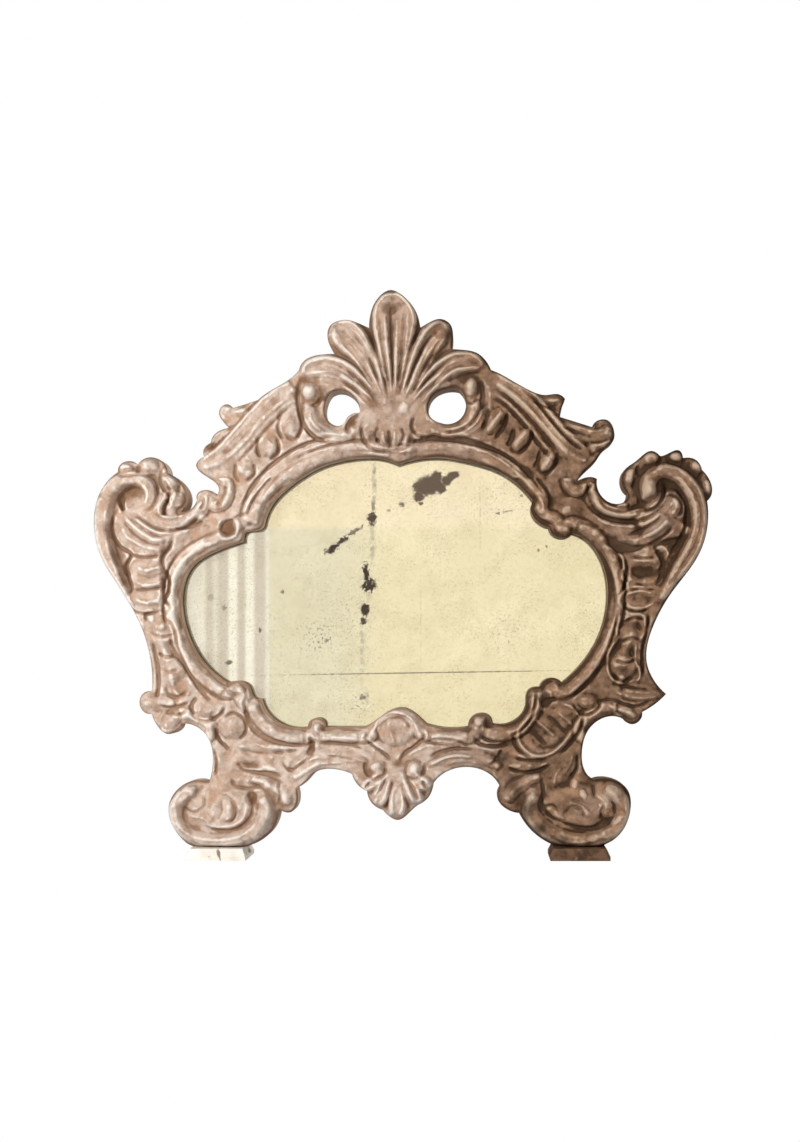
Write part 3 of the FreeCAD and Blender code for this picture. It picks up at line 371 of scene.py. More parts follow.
# Rounded swellings and hollows: height in mm, place, two radii in pixels and any turn in degrees
SWELLINGS = [
    (1.6, 388, 404, 8, 6), (2.2, 404, 410, 7, 8), (2.4, 310, 394, 8, 8), (2.0, 470, 390, 7, 11, 15),
    (-4.5, 133, 498, 16, 14), (-8.0, 229, 529, 10, 11), (2.5, 203, 518, 6, 5), (3.0, 648, 490, 9, 13),
    (2.0, 566, 510, 8, 7), (1.5, 547, 512, 6, 7), (-4.5, 622, 548, 15, 8, -10), (-3.5, 642, 570, 12, 10),
    (1.8, 672, 504, 6, 6), (-4.0, 252, 797, 6, 9), (2.0, 190, 800, 9, 8), (4.2, 605, 797, 13, 11),
    (3.0, 600, 787, 6, 6), (4.5, 606, 809, 13, 9), (2.4, 530, 792, 9, 7), (2.4, 582, 793, 5, 7, -20),
    (2.2, 574, 783, 5, 6), (1.5, 570, 803, 9, 6, 20), (1.5, 586, 810, 8, 6, 40), (1.4, 558, 813, 8, 6, 30),
    (1.2, 575, 819, 9, 5, 10), (1.2, 557, 777, 6, 9, 15), (2.0, 613, 817, 9, 7), (-3.0, 548, 686, 9, 6),
    (-5.0, 545, 700, 7, 10), (2.0, 477, 722, 6, 9), (-4.0, 487, 723, 5, 6), (2.2, 288, 797, 7, 9),
    (2.0, 269, 785, 5, 6), (1.8, 244, 747, 6, 4), (-3.0, 250, 765, 14, 5, 5), (2.4, 270, 768, 8, 4, 15),
    (-2.0, 312, 746, 6, 11), (-5.0, 396, 729, 17, 14), (2.0, 376, 768, 6, 6), (2.0, 414, 769, 6, 6),
    (1.6, 398, 757, 5, 6, 30), (1.5, 318, 727, 5, 6), (-3.0, 309, 724, 4, 6), (1.6, 430, 420, 8, 6, 20),
    (1.8, 418, 436, 6, 4), (1.6, 366, 428, 5, 6), (1.5, 596, 532, 8, 5, -30), (1.4, 167, 722, 9, 8),
    (1.4, 632, 713, 8, 6), (1.6, 652, 694, 9, 6), (1.2, 148, 702, 8, 7), (1.2, 604, 433, 8, 10),
    (1.5, 657, 592, 4, 4), (-2.4, 394, 311, 13, 7), (-2.0, 345, 334, 9, 7, 30), (-2.0, 440, 335, 8, 7, -30),
    (-1.5, 319, 370, 9, 6), (-1.5, 472, 366, 9, 5), (-4.5, 642, 571, 17, 12), (-3.2, 640, 599, 15, 8),
    (-2.8, 633, 625, 12, 8), (-2.8, 629, 652, 12, 9), (-2.6, 622, 671, 11, 7),
    (-5.5, 549, 727, 27, 21, -15), (1.2, 608, 433, 6, 6), (2.5, 646, 489, 10, 15),
    (2.0, 560, 452, 10, 5, 40), (-2.5, 612, 541, 12, 8), (1.4, 208, 470, 9, 6, 40), (-1.6, 226, 452, 8, 6),
    (1.6, 213, 548, 10, 7, -30), (1.5, 545, 489, 8, 10), (-2.0, 528, 476, 8, 5, 40),
    (1.8, 151, 572, 15, 12), (2.0, 150, 600, 17, 8, 5), (1.8, 153, 619, 5, 5), (1.8, 164, 627, 5, 5),
    (1.8, 169, 639, 5, 5), (1.8, 176, 683, 8, 12, -20),
]

# Dirt lodged in recesses, and painted shade under lobes and on slopes away from the light: strength, place,
# two radii in pixels and any turn in degrees
GRIME_AND_SHADE_SPOTS = [
    (1.2, 229, 529, 11, 12), (0.35, 150, 652, 5, 44, -10), (1.0, 124, 504, 4, 10), (0.6, 134, 493, 14, 13),
    (0.9, 110, 532, 4, 16, -12), (0.9, 117, 558, 4, 16, -20), (0.9, 126, 582, 4, 14, -25),
    (0.9, 165, 548, 4, 14, 15), (0.9, 164, 580, 4, 16), (0.8, 196, 522, 9, 4, -15), (0.9, 251, 524, 5, 4),
    (0.5, 205, 503, 4, 8), (0.45, 222, 497, 5, 14, 20), (1.2, 211, 447, 9, 6, -40), (0.9, 254, 799, 6, 10),
    (1.0, 312, 746, 5, 11), (0.9, 219, 737, 3, 14, -25), (0.8, 248, 716, 3, 16), (1.0, 371, 438, 5, 8),
    (1.0, 410, 441, 5, 8), (0.6, 394, 308, 14, 6), (0.85, 374, 402, 11, 14, -30), (0.55, 388, 381, 10, 16),
    (0.9, 389, 441, 8, 8), (0.9, 447, 336, 10, 12), (0.35, 476, 364, 13, 8), (0.7, 379, 438, 4, 9),
    (0.4, 391, 402, 8, 9), (0.5, 353, 421, 6, 8), (1.2, 304, 381, 8, 7), (1.1, 319, 401, 9, 5, -20),
    (0.9, 325, 393, 5, 10), (0.4, 168, 560, 5, 12), (0.4, 246, 688, 6, 8), (0.8, 397, 764, 9, 5),
    (0.5, 398, 729, 12, 9), (0.9, 249, 766, 14, 4, 5), (0.9, 303, 412, 4, 18), (0.6, 320, 432, 12, 6, 20),
    (0.5, 333, 374, 24, 5, 15), (0.8, 352, 425, 8, 7, -30), (0.6, 245, 752, 9, 4, 30),
    (0.45, 290, 731, 18, 5, 10), (0.5, 207, 690, 16, 6, 35), (0.8, 234, 693, 8, 6),
    (0.6, 622, 548, 17, 9, -10), (0.5, 610, 540, 10, 8), (0.5, 642, 571, 14, 9), (0.6, 640, 599, 12, 6),
    (0.6, 633, 625, 9, 6), (0.6, 629, 652, 9, 7), (0.7, 622, 671, 9, 6), (0.9, 545, 700, 8, 11),
    (0.6, 538, 734, 13, 10, -40), (0.5, 558, 722, 12, 9, -40), (0.8, 487, 723, 6, 7),
    (0.5, 568, 805, 24, 13), (0.8, 661, 500, 4, 12, 20), (0.7, 536, 690, 5, 12), (0.6, 508, 742, 14, 6),
    (0.8, 500, 757, 12, 9), (0.8, 513, 784, 13, 13), (0.6, 540, 770, 16, 8), (0.6, 480, 735, 8, 6),
    (0.7, 588, 497, 7, 8), (0.6, 500, 792, 6, 10), (0.6, 507, 432, 7, 12, 20), (0.6, 534, 452, 7, 12, 25),
    (0.6, 485, 413, 6, 12, 15), (0.6, 561, 478, 7, 8), (0.6, 540, 400, 12, 5, 20),
    (0.6, 584, 444, 16, 6, 25), (0.6, 570, 765, 6, 12), (0.5, 652, 640, 6, 24), (0.9, 528, 808, 10, 14),
    (0.9, 540, 826, 12, 10), (0.7, 560, 838, 16, 6), (0.5, 690, 470, 12, 5, 35), (0.5, 634, 478, 6, 12),
    (0.5, 542, 385, 20, 5, 28),
]
# Gilding worn back to the pale ground, and painted highlights on domes and lit slopes, in the same way
RUBBED_AND_HIGHLIGHT_SPOTS = [
    (0.8, 404, 410, 7, 8), (0.6, 310, 394, 7, 7), (0.5, 648, 489, 8, 12), (0.5, 673, 505, 5, 6),
    (0.9, 660, 550, 7, 4, -20), (0.9, 515, 765, 6, 3), (0.5, 532, 790, 8, 6), (0.8, 574, 783, 4, 5),
    (0.8, 582, 793, 4, 6, -20), (0.8, 608, 797, 14, 12), (0.7, 612, 818, 8, 8), (0.7, 566, 510, 6, 6),
    (0.8, 512, 396, 30, 9, 42), (0.8, 552, 434, 28, 8, 48), (0.7, 495, 423, 13, 4, -52),
    (0.7, 522, 438, 12, 4, -50), (0.8, 270, 768, 8, 4, 15), (0.7, 312, 768, 16, 5, -28),
    (0.6, 288, 797, 6, 8), (0.5, 163, 600, 8, 10), (0.5, 272, 444, 7, 8), (0.5, 476, 722, 5, 7),
    (0.5, 420, 765, 8, 6), (0.5, 400, 805, 6, 10), (0.5, 300, 772, 9, 7, -40), (0.6, 547, 463, 10, 4, -55),
    (0.5, 149, 497, 3, 10), (0.9, 197, 547, 17, 8, -35), (0.9, 180, 570, 8, 20, 15), (0.8, 174, 610, 7, 26),
    (0.5, 203, 517, 5, 4), (0.5, 239, 526, 4, 8),
]

# Low grounds that join forms at their roots: height in mm, place and two radii in pixels
ROOT_GROUNDS = [
    (8.5, 395, 398, 62, 62), (7.0, 397, 785, 30, 26), (11.0, 222, 811, 40, 28), (10.0, 575, 809, 38, 27),
    (11.5, 150, 524, 42, 40), (8.5, 664, 512, 26, 24), (8.8, 150, 575, 30, 62), (6.5, 638, 600, 28, 70),
    (6.5, 285, 415, 26, 24), (6.5, 262, 435, 26, 24), (6.5, 240, 456, 24, 22),
]

# The sight moulding's section: pixels from the sight edge, and height in mm
SIGHT_SECTION = [(0, 1.0), (2, 2.4), (3.5, 2.0), (4.5, 3.6), (7, 6.2), (10, 7.0), (13, 6.2), (15, 4.4),
                 (16.5, 2.4), (18, 1.6)]
SIGHT_BOX_PIXELS = ((176, 452), (613, 731))

# Unevenness of the hand all over the carving: height in mm, seed and radius in pixels
TOOL_MARKS = [(0.50, 1, 6.0), (0.34, 4, 2.8), (0.12, 2, 1.3)]

GROUND_RISE = 3.2              # mm, from the boards' front
EDGE_ROUNDING = 3.0            # pixels
EDGE_GRIME_AND_SHADE_SHARE = 0.9         # of the rounding, where dirt and painted shade lie along the outline
SEAM_DEPTH = 1.7               # mm, of the gouged line round each carved form
SEAM_WIDTH = 1.3               # pixels
SEAM_NOISE = (3, 7.0)          # seed, and radius in pixels
SEAM_MEAN_SHARE = 0.75         # of the seam's depth
SEAM_SPREAD_SHARE = 0.45       # of the seam's depth, to either side of the mean
SEAM_LIMIT_SHARES = (0.1, 1.4)
GESSO_SOFTENING = 1.7          # pixels
TAPER_SHARE = 0.16             # of a stroke's length, at each end
LEAST_TAPER_SHARE = 0.15       # of a stroke's height, at its tips
SWELLING_POWER = 1.2           # how steeply a swelling falls off
LOWEST_RELIEF = 0.25           # mm
CAVITY_RADIUS = 2.0            # pixels
HOLLOW_RADII = (6.0, 14.0)     # pixels
FAINTEST_SHARE = 0.002         # of a blurred shape, that still counts as near it
TRIANGLE_SPANS = ((0, 2), (2, 5), (5, 12), (12, 30), (30, 90))      # cells
SAMPLES_PER_CELL = 1.5
CORNER_STEP = 0.001            # pixels, within which two corners are one
TREE_STEP = CELL / 4           # pixels, between the points of a search tree
COURSE_POINTS_PER_PIXEL = 2


# Working with fields over the grid

def blur(field, radius):
    """Gaussian blur of a field, with its radius in pixels."""
    reach = int(3 * radius / CELL) + 1
    taps = np.exp(-0.5 * (np.arange(-reach, reach + 1) * CELL / radius) ** 2)
    taps /= taps.sum()
    rows, columns = field.shape
    tall = np.pad(field, ((reach, reach), (0, 0)), mode="edge")
    field = sum(tap * tall[k:k + rows] for k, tap in enumerate(taps))
    wide = np.pad(field, ((0, 0), (reach, reach)), mode="edge")
    return sum(tap * wide[:, k:k + columns] for k, tap in enumerate(taps))


def to_pixels(points):
    """Points in metres as pixels and as height in mm before the boards."""
    across = points[..., 0] / ACROSS_PER_PIXEL + FOOT_CENTRE_PIXEL[0]
    down = FOOT_CENTRE_PIXEL[1] - points[..., 2] / UP_PER_PIXEL
    return np.stack((across, down, (BOARD_FRONT - points[..., 1]) / MM), axis=-1)


def to_metres(across, down, height):
    """Pixels and height in mm before the boards as points in metres."""
    x = (across - FOOT_CENTRE_PIXEL[0]) * ACROSS_PER_PIXEL
    z = (FOOT_CENTRE_PIXEL[1] - down) * UP_PER_PIXEL
    return np.stack((x, BOARD_FRONT - height * MM, z), axis=-1)


def node_triangles(node):
    """A CAD node's triangles in pixels."""
    mesh = frame["nodes"][node].data
    mesh.calc_loop_triangles()
    corners = np.empty(len(mesh.vertices) * 3, np.float32)
    mesh.vertices.foreach_get("co", corners)
    order = np.empty(len(mesh.loop_triangles) * 3, np.int32)
    mesh.loop_triangles.foreach_get("vertices", order)
    return to_pixels(corners.reshape(-1, 3).astype(float))[order.reshape(-1, 3)]


def front_height(node):
    """How high a CAD node's front stands over the grid, and zero where it isn't."""
    triangles = node_triangles(node)
    spans = np.ptp(triangles[:, :, :2], axis=1).max(axis=1) / CELL
    field = np.zeros(GRID_SHAPE)
    for low, high in TRIANGLE_SPANS:
        chosen = triangles[(spans >= low) & (spans < high)]
        parts = int(high * SAMPLES_PER_CELL)
        weights = np.array([(i, j, parts - i - j) for i in range(parts + 1) for j in range(parts + 1 - i)])
        samples = np.einsum("kw,mwc->mkc", weights / parts, chosen).reshape(-1, 3)
        columns = np.rint((samples[:, 0] - GRID_LOW_PIXEL[0]) / CELL).astype(int)
        rows = np.rint((samples[:, 1] - GRID_LOW_PIXEL[1]) / CELL).astype(int)
        np.maximum.at(field, (rows, columns), samples[:, 2])
    return field


def board_edges():
    """The boards' outlines on their front, as segments in pixels, without the joints."""
    found = []
    for node in BOARDS:
        triangles = node_triangles(node)
        flat = triangles[np.abs(triangles[:, :, 2]).max(axis=1) < LOWEST_RELIEF]
        found += [flat[:, pair, :2] for pair in ((0, 1), (1, 2), (2, 0))]
    segments = np.concatenate(found)
    keys = np.rint(segments / CORNER_STEP).astype(np.int64)
    swap = (keys[:, 0, 0] > keys[:, 1, 0]) | (
        (keys[:, 0, 0] == keys[:, 1, 0]) & (keys[:, 0, 1] > keys[:, 1, 1]))
    keys[swap] = keys[swap][:, ::-1]
    _, first, counts = np.unique(keys.reshape(-1, 4), axis=0, return_index=True, return_counts=True)
    return segments[first[counts == 1]]


def inside(segments, columns, rows):
    """Which points of a grid lie within closed outlines."""
    (x0, y0), (x1, y1) = segments[:, 0].T, segments[:, 1].T
    result = np.zeros((len(rows), len(columns)), bool)
    for number, y in enumerate(rows):
        hit = (y0 <= y) != (y1 <= y)
        crossings = x0[hit] + (y - y0[hit]) * (x1[hit] - x0[hit]) / (y1[hit] - y0[hit])
        result[number] = np.searchsorted(np.sort(crossings), columns) % 2 == 1
    return result


def point_tree(segments):
    """A search tree of points set closely along segments."""
    points = []
    for start, end in segments:
        count = int(np.hypot(*(end - start)) / TREE_STEP) + 1
        points += [start + (end - start) * k / count for k in range(count)]
    tree = kdtree.KDTree(len(points))
    for number, point in enumerate(points):
        tree.insert((point[0], point[1], 0), number)
    tree.balance()
    return tree


def smooth_course(points):
    """A smooth row of closely set points through those given."""
    points = np.array(points, float)
    ends = np.vstack((2 * points[0] - points[1], points, 2 * points[-1] - points[-2]))
    rows = []
    for a, b, c, d in zip(ends, ends[1:], ends[2:], ends[3:]):
        count = max(2, int(np.hypot(*(c - b)) * COURSE_POINTS_PER_PIXEL))
        t = np.arange(count)[:, None] / count
        rows.append(b + (c - a) * t / 2 + (2 * a - 5 * b + 4 * c - d) * t ** 2 / 2
                    + (3 * b - a - 3 * c + d) * t ** 3 / 2)
    return np.vstack(rows + [points[-1:]])


def add_stroke(field, height, half, course):
    """Adds a ridge or groove along a course, tapered at its ends."""
    course = smooth_course(course)
    low = np.floor((course.min(0) - half - GRID_LOW_PIXEL) / CELL).astype(int)
    high = np.ceil((course.max(0) + half - GRID_LOW_PIXEL) / CELL).astype(int) + 1
    nearest = np.full((high[1] - low[1], high[0] - low[0]), half)
    share = np.zeros_like(nearest)
    columns, rows = GRID_X[low[0]:high[0]], GRID_Y[low[1]:high[1]]
    for number, (x, y) in enumerate(course):
        i, j = np.searchsorted(columns, (x - half, x + half))
        k, m = np.searchsorted(rows, (y - half, y + half))
        gap = np.hypot(columns[None, i:j] - x, rows[k:m, None] - y)
        closer = gap < nearest[k:m, i:j]
        nearest[k:m, i:j][closer] = gap[closer]
        share[k:m, i:j][closer] = number / (len(course) - 1)
    taper = np.clip(np.minimum(share, 1 - share) / TAPER_SHARE, LEAST_TAPER_SHARE, 1)
    bump = (1 - (nearest / half) ** 2) ** 2 * taper
    field[low[1]:high[1], low[0]:high[0]] += height * bump


def add_swelling(field, height, x, y, wide, tall, turn=0):
    """Adds a rounded rise or hollow."""
    angle = np.radians(turn)
    across, down = GRID_X[None, :] - x, GRID_Y[:, None] - y
    u = (across * np.cos(angle) + down * np.sin(angle)) / wide
    v = (down * np.cos(angle) - across * np.sin(angle)) / tall
    field += height * np.clip(1 - u ** 2 - v ** 2, 0, 1) ** SWELLING_POWER


def spots(rows):
    """A field of soft spots."""
    field = np.zeros(GRID_SHAPE)
    for row in rows:
        add_swelling(field, *row)
    return field


def root_ground(height, x, y, wide, tall):
    """A low dome over the grid."""
    across, down = (GRID_X[None, :] - x) / wide, (GRID_Y[:, None] - y) / tall
    return height * np.sqrt(np.clip(1 - across ** 2 - down ** 2, 0, 1))


def soft_noise(seed, radius):
    """Smooth noise with a spread of about one."""
    noise = blur(np.random.default_rng(seed).standard_normal(GRID_SHAPE), radius)
    return noise / noise.std()


def new_object(name, data):
    """An object in the scene."""
    obj = bpy.data.objects.new(name, data)
    bpy.context.scene.collection.objects.link(obj)
    return obj


# The carved relief

class Relief:
    """Heights, form labels and outlines of the carved front."""

    def __init__(self):
        self.edges = board_edges()
        self.edge_tree = point_tree(self.edges)
        self.cells = inside(self.edges, GRID_X[:-1] + CELL / 2, GRID_Y[:-1] + CELL / 2)
        self.labels = np.full(GRID_SHAPE, -1)
        carved = self.carve(self.block_out())
        on_board = inside(self.edges, GRID_X, GRID_Y)
        depth = np.clip(2 * blur(on_board.astype(float), EDGE_ROUNDING) - 1, 0, 1)
        rounding = np.sqrt(depth * (2 - depth))
        self.edge = np.clip(1 - depth / EDGE_GRIME_AND_SHADE_SHARE, 0, 1)
        self.height = np.maximum(carved * rounding, LOWEST_RELIEF)
        self.cavity = blur(self.height, CAVITY_RADIUS) - self.height
        around = sum(blur(self.height, radius) for radius in HOLLOW_RADII) / len(HOLLOW_RADII)
        self.hollow = around - self.height
        # Spots of worn gilding and painted highlight, and of dirt and painted shade
        self.rubbed_and_highlight = spots(RUBBED_AND_HIGHLIGHT_SPOTS)
        self.grime_and_shade = spots(GRIME_AND_SHADE_SPOTS)

    def block_out(self):
        """Heights of the CAD carvings over the ground. Each grid point is labelled with its carving."""
        blocked = np.full(GRID_SHAPE, GROUND_RISE)
        for number, node in enumerate(CARVINGS):
            height = front_height(node)
            self.labels[height > LOWEST_RELIEF] = number
            blocked = np.maximum(blocked, height)
        return blocked

    def carve(self, blocked):
        """Softens the forms, then adds moulding, seams, strokes, swellings and tool marks."""
        roots = np.max([root_ground(*row) for row in ROOT_GROUNDS], axis=0)
        shown = blur((blocked >= roots).astype(float), GESSO_SOFTENING)
        carved = self.with_moulding(blur(np.maximum(blocked, roots), GESSO_SOFTENING))
        uneven = SEAM_MEAN_SHARE + SEAM_SPREAD_SHARE * soft_noise(*SEAM_NOISE)
        carved -= SEAM_DEPTH * shown * self.seams() * np.clip(uneven, *SEAM_LIMIT_SHARES)
        for row in STROKES:
            add_stroke(carved, *row)
        for row in SWELLINGS:
            add_swelling(carved, *row)
        carved = blur(carved, CELL)
        return carved + sum(height * soft_noise(seed, radius) for height, seed, radius in TOOL_MARKS)

    def with_moulding(self, carved):
        """Puts the sight moulding's section round the sight."""
        low, high = SIGHT_BOX_PIXELS
        sight = self.edges[np.all((self.edges > low) & (self.edges < high), axis=(1, 2))]
        tree = point_tree(sight)
        offsets, heights = zip(*SIGHT_SECTION)
        hole = inside(sight, GRID_X, GRID_Y)
        free = np.array([node.endswith("sight_moulding") for node in CARVINGS] + [True])
        near = (blur(hole.astype(float), offsets[-1] / 2) > FAINTEST_SHARE) & ~hole & free[self.labels]
        for row, column in zip(*np.nonzero(near)):
            gap = tree.find((GRID_X[column], GRID_Y[row], 0))[2]
            if gap < offsets[-1]:
                carved[row, column] = np.interp(gap, offsets, heights)
        return carved

    def seams(self):
        """One along the edges between carved forms, fading to either side."""
        edge = np.zeros(GRID_SHAPE)
        edge[:, 1:] += self.labels[:, 1:] != self.labels[:, :-1]
        edge[1:] += self.labels[1:] != self.labels[:-1]
        line = blur(np.minimum(edge, 1), SEAM_WIDTH)
        return np.clip(line / (CELL / SEAM_WIDTH / 2), 0, 1)

    def settle_edges(self):
        """Draws the outermost grid points onto the boards' outline and down to their front."""
        rows, columns = GRID_SHAPE
        counts = np.zeros(GRID_SHAPE, int)
        for i in (0, 1):
            for j in (0, 1):
                counts[i:rows - 1 + i, j:columns - 1 + j] += self.cells
        self.across, self.down = (field.copy() for field in np.meshgrid(GRID_X, GRID_Y))
        down_slope, across_slope = np.gradient(self.height, CELL)
        slopes = np.stack((-across_slope * MM / ACROSS_PER_PIXEL, -np.ones(GRID_SHAPE),
                           down_slope * MM / UP_PER_PIXEL), axis=-1)
        self.normals = slopes / np.linalg.norm(slopes, axis=-1, keepdims=True)
        for row, column in zip(*np.nonzero((counts > 0) & (counts < 4))):
            spot = self.edge_tree.find((GRID_X[column], GRID_Y[row], 0))[0]
            self.across[row, column], self.down[row, column] = spot[0], spot[1]
            self.height[row, column] = 0

    def raised_rim(self, quads):
        """The sides that one cell alone has and that stand before the boards' front."""
        sides = np.concatenate([quads[:, (k, (k + 1) % 4)] for k in range(4)])
        keys = np.sort(sides, axis=1)
        _, where, counts = np.unique(keys, axis=0, return_index=True, return_counts=True)
        rim = sides[where[counts == 1]]
        return rim[self.height.ravel()[rim].max(axis=1) > 0]

    def piece(self, name, chosen):
        """A carved piece over the chosen cells, with walls down to the boards' front."""
        rows, columns = np.nonzero(chosen & self.cells)
        wide = GRID_SHAPE[1]
        first = rows * wide + columns
        quads = np.stack((first + wide, first + wide + 1, first + 1, first), axis=1)
        rim = self.raised_rim(quads)
        used, faces = np.unique(quads, return_inverse=True)
        foot, rim_order = np.unique(rim, return_inverse=True)
        top_index = np.searchsorted(used, rim)
        foot_index = rim_order.reshape(-1, 2) + len(used)
        walls = np.stack((top_index[:, 1], top_index[:, 0], foot_index[:, 0], foot_index[:, 1]), axis=1)
        order = np.concatenate((used, foot))
        height = np.concatenate((self.height.ravel()[used], np.zeros(len(foot))))
        points = to_metres(self.across.ravel()[order], self.down.ravel()[order], height)
        return self.mesh_object(name, points, np.concatenate((faces.reshape(-1, 4), walls)), order)

    def mesh_object(self, name, points, faces, order):
        """A mesh of quads with the relief's normals and its fields as point attributes."""
        mesh = bpy.data.meshes.new(name)
        mesh.vertices.add(len(points))
        mesh.vertices.foreach_set("co", points.astype(np.float32).ravel())
        mesh.loops.add(faces.size)
        mesh.loops.foreach_set("vertex_index", faces.astype(np.int32).ravel())
        mesh.polygons.add(len(faces))
        mesh.polygons.foreach_set("loop_start", np.arange(0, faces.size, 4, dtype=np.int32))
        mesh.update(calc_edges=True)
        mesh.polygons.foreach_set("use_smooth", np.ones(len(faces), bool))
        mesh.normals_split_custom_set_from_vertices(self.normals.reshape(-1, 3)[order])
        for label in ("height", "cavity", "hollow", "edge", "rubbed_and_highlight", "grime_and_shade"):
            field = getattr(self, label)
            layer = mesh.attributes.new(label, "FLOAT", "POINT")
            layer.data.foreach_set("value", field.ravel()[order].astype(np.float32))
        return new_object(name, mesh)


# Materials

class Shader:
    """The node tree of a material or the world, with short calls to add to it."""

    def __init__(self, owner, output="OutputMaterial"):
        owner.use_nodes = True
        self.owner = owner
        self.tree = owner.node_tree
        self.tree.nodes.clear()
        self.output = self.tree.nodes.new("ShaderNode" + output)

    def node(self, kind, inputs=None, output=0, **settings):
        """Adds a node, sets or links its inputs and gives back one of its outputs."""
        node = self.tree.nodes.new("ShaderNode" + kind)
        for key, value in settings.items():
            setattr(node, key, value)
        for key, value in (inputs or {}).items():
            self.feed(node.inputs[key], value)
        return node.outputs[output]

    def feed(self, socket, value):
        if isinstance(value, bpy.types.NodeSocket):
            self.tree.links.new(value, socket)
        elif socket.type == "RGBA":
            socket.default_value = (*value, 1)
        else:
            socket.default_value = value

    def place(self):
        return self.node("TexCoord", output="Object")

    def coordinate(self, axis):
        return self.node("SeparateXYZ", {0: self.place()}, output=axis)

    def noise(self, scale, detail=4, rough=0.55, warp=0.0):
        return self.node("TexNoise", {"Vector": self.place(), "Scale": scale, "Detail": detail,
                                      "Roughness": rough, "Distortion": warp})

    def attribute(self, name):
        return self.node("Attribute", output="Fac", attribute_name=name)

    def span(self, value, low, high, first=0.0, last=1.0):
        """A value between low and high brought to the range from first to last."""
        return self.node("MapRange", {"Value": value, "From Min": low, "From Max": high,
                                      "To Min": first, "To Max": last})

    def math(self, operation, first, second):
        return self.node("Math", {0: first, 1: second}, operation=operation)

    def total(self, *values):
        """The sum of several values."""
        result = values[0]
        for value in values[1:]:
            result = self.math("ADD", result, value)
        return result

    def plainly_seen(self):
        """One to the camera and in sharp mirrors, and nought to other rays."""
        rays = [self.node("LightPath", output=f"Is {kind} Ray") for kind in ("Camera", "Singular")]
        return self.math("MAXIMUM", *rays)

    def mix(self, share, first, second):
        return self.node("Mix", {0: share, 6: first, 7: second}, output=2, data_type="RGBA")

    def bump(self, height, distance, strength=1.0, normal=None):
        inputs = {"Height": height, "Distance": distance, "Strength": strength}
        if normal is not None:
            inputs["Normal"] = normal
        return self.node("Bump", inputs)

    def surface(self, **inputs):
        """Ends the tree in a principled surface."""
        named = {}
        for key, value in inputs.items():
            named[key.replace("_", " ").title().replace("Ior", "IOR")] = value
        return self.end(self.node("BsdfPrincipled", named))

    def end(self, shader):
        self.tree.links.new(shader, self.output.inputs["Surface"])
        return self.owner


# Where the painted light turns the gilding from lit pale to shaded brown, in metres
UPPER_TURN = (-0.010, 0.140)   # across, high on the part
LOWER_TURN = (0.020, 0.080)    # across, low on the part
UPPER_RISE = (0.05, 0.20)      # heights between which the lower becomes the upper
LEAN_SHARE = 0.20              # of the height, by which the upper turn leans
FAR_LEFT = (-0.150, -0.225)    # across, where the gilding darkens
FAR_RIGHT = (0.12, 0.20)

# Colours of the gilding, lit and shaded copies in painted light: lit pale at the left and shaded brown at
# the right
GILT_LIGHT = ((0.60, 0.49, 0.415), (0.31, 0.185, 0.110))
GILT_MOTTLED = ((0.42, 0.295, 0.22), (0.160, 0.084, 0.045))
GILT_FAR = ((0.38, 0.25, 0.18), (0.12, 0.062, 0.033))
# Pale of worn-back ridges: partly truly worn gilding, partly painted highlight, lighter at the lit left
GILT_BRIGHT = ((0.80, 0.72, 0.645), (0.54, 0.40, 0.29))
GILT_GRIME_AND_SHADE = ((0.27, 0.165, 0.105), (0.045, 0.025, 0.014))
GILT_DIRT_AND_SHADE = ((0.18, 0.092, 0.046), (0.05, 0.03, 0.018))
BOLE = (0.40, 0.225, 0.13)
SPECKS = (0.16, 0.095, 0.06)


def shaded_side_share(s):
    """Painted light: from nought at the lit, pale left to one at the shaded, brown right, along a leaning
    line, sharper below.
    """
    x, z = s.coordinate("X"), s.coordinate("Z")
    above = s.span(s.math("ADD", x, s.math("MULTIPLY", z, LEAN_SHARE)), *UPPER_TURN)
    below = s.span(x, *LOWER_TURN)
    change = s.math("MULTIPLY", s.math("SUBTRACT", above, below), s.span(z, *UPPER_RISE))
    return s.math("ADD", below, change)


def gilt_tone(s, right, fine):
    """Gilding by itself, mottled, darker at the far sides and patched with red bole; painted light makes it
    lit pale at the left and shaded brown at the right, and paler on ridges and worn spots as partly painted
    highlight.
    """
    mottle, x = s.noise(95, 5, 0.6, 0.5), s.coordinate("X")
    pale = s.mix(s.span(mottle, 0.42, 0.62), GILT_LIGHT[0], GILT_MOTTLED[0])
    pale = s.mix(s.span(x, *FAR_LEFT, 0, 0.28), pale, GILT_FAR[0])
    brown = s.mix(s.span(mottle, 0.35, 0.68), GILT_LIGHT[1], GILT_MOTTLED[1])
    brown = s.mix(s.span(x, *FAR_RIGHT, 0, 0.35), brown, GILT_FAR[1])
    # Painted light: the lit pale copy at the left, the shaded brown copy at the right
    tone = s.mix(right, pale, brown)
    tone = s.mix(s.span(s.noise(60, 5, 0.6, 0.8), 0.51, 0.66, 0, 0.6), tone, BOLE)
    # Ridges and worn spots turn pale: partly truly worn gilding, partly painted highlight
    wear_and_highlight = s.total(s.span(s.attribute("cavity"), -0.15, -0.9), s.span(fine, 0.4, 0.7, -0.3, 0.3),
                   s.attribute("rubbed_and_highlight"))
    return s.mix(s.span(wear_and_highlight, 0.2, 0.85, 0, 0.9), tone, s.mix(right, *GILT_BRIGHT))


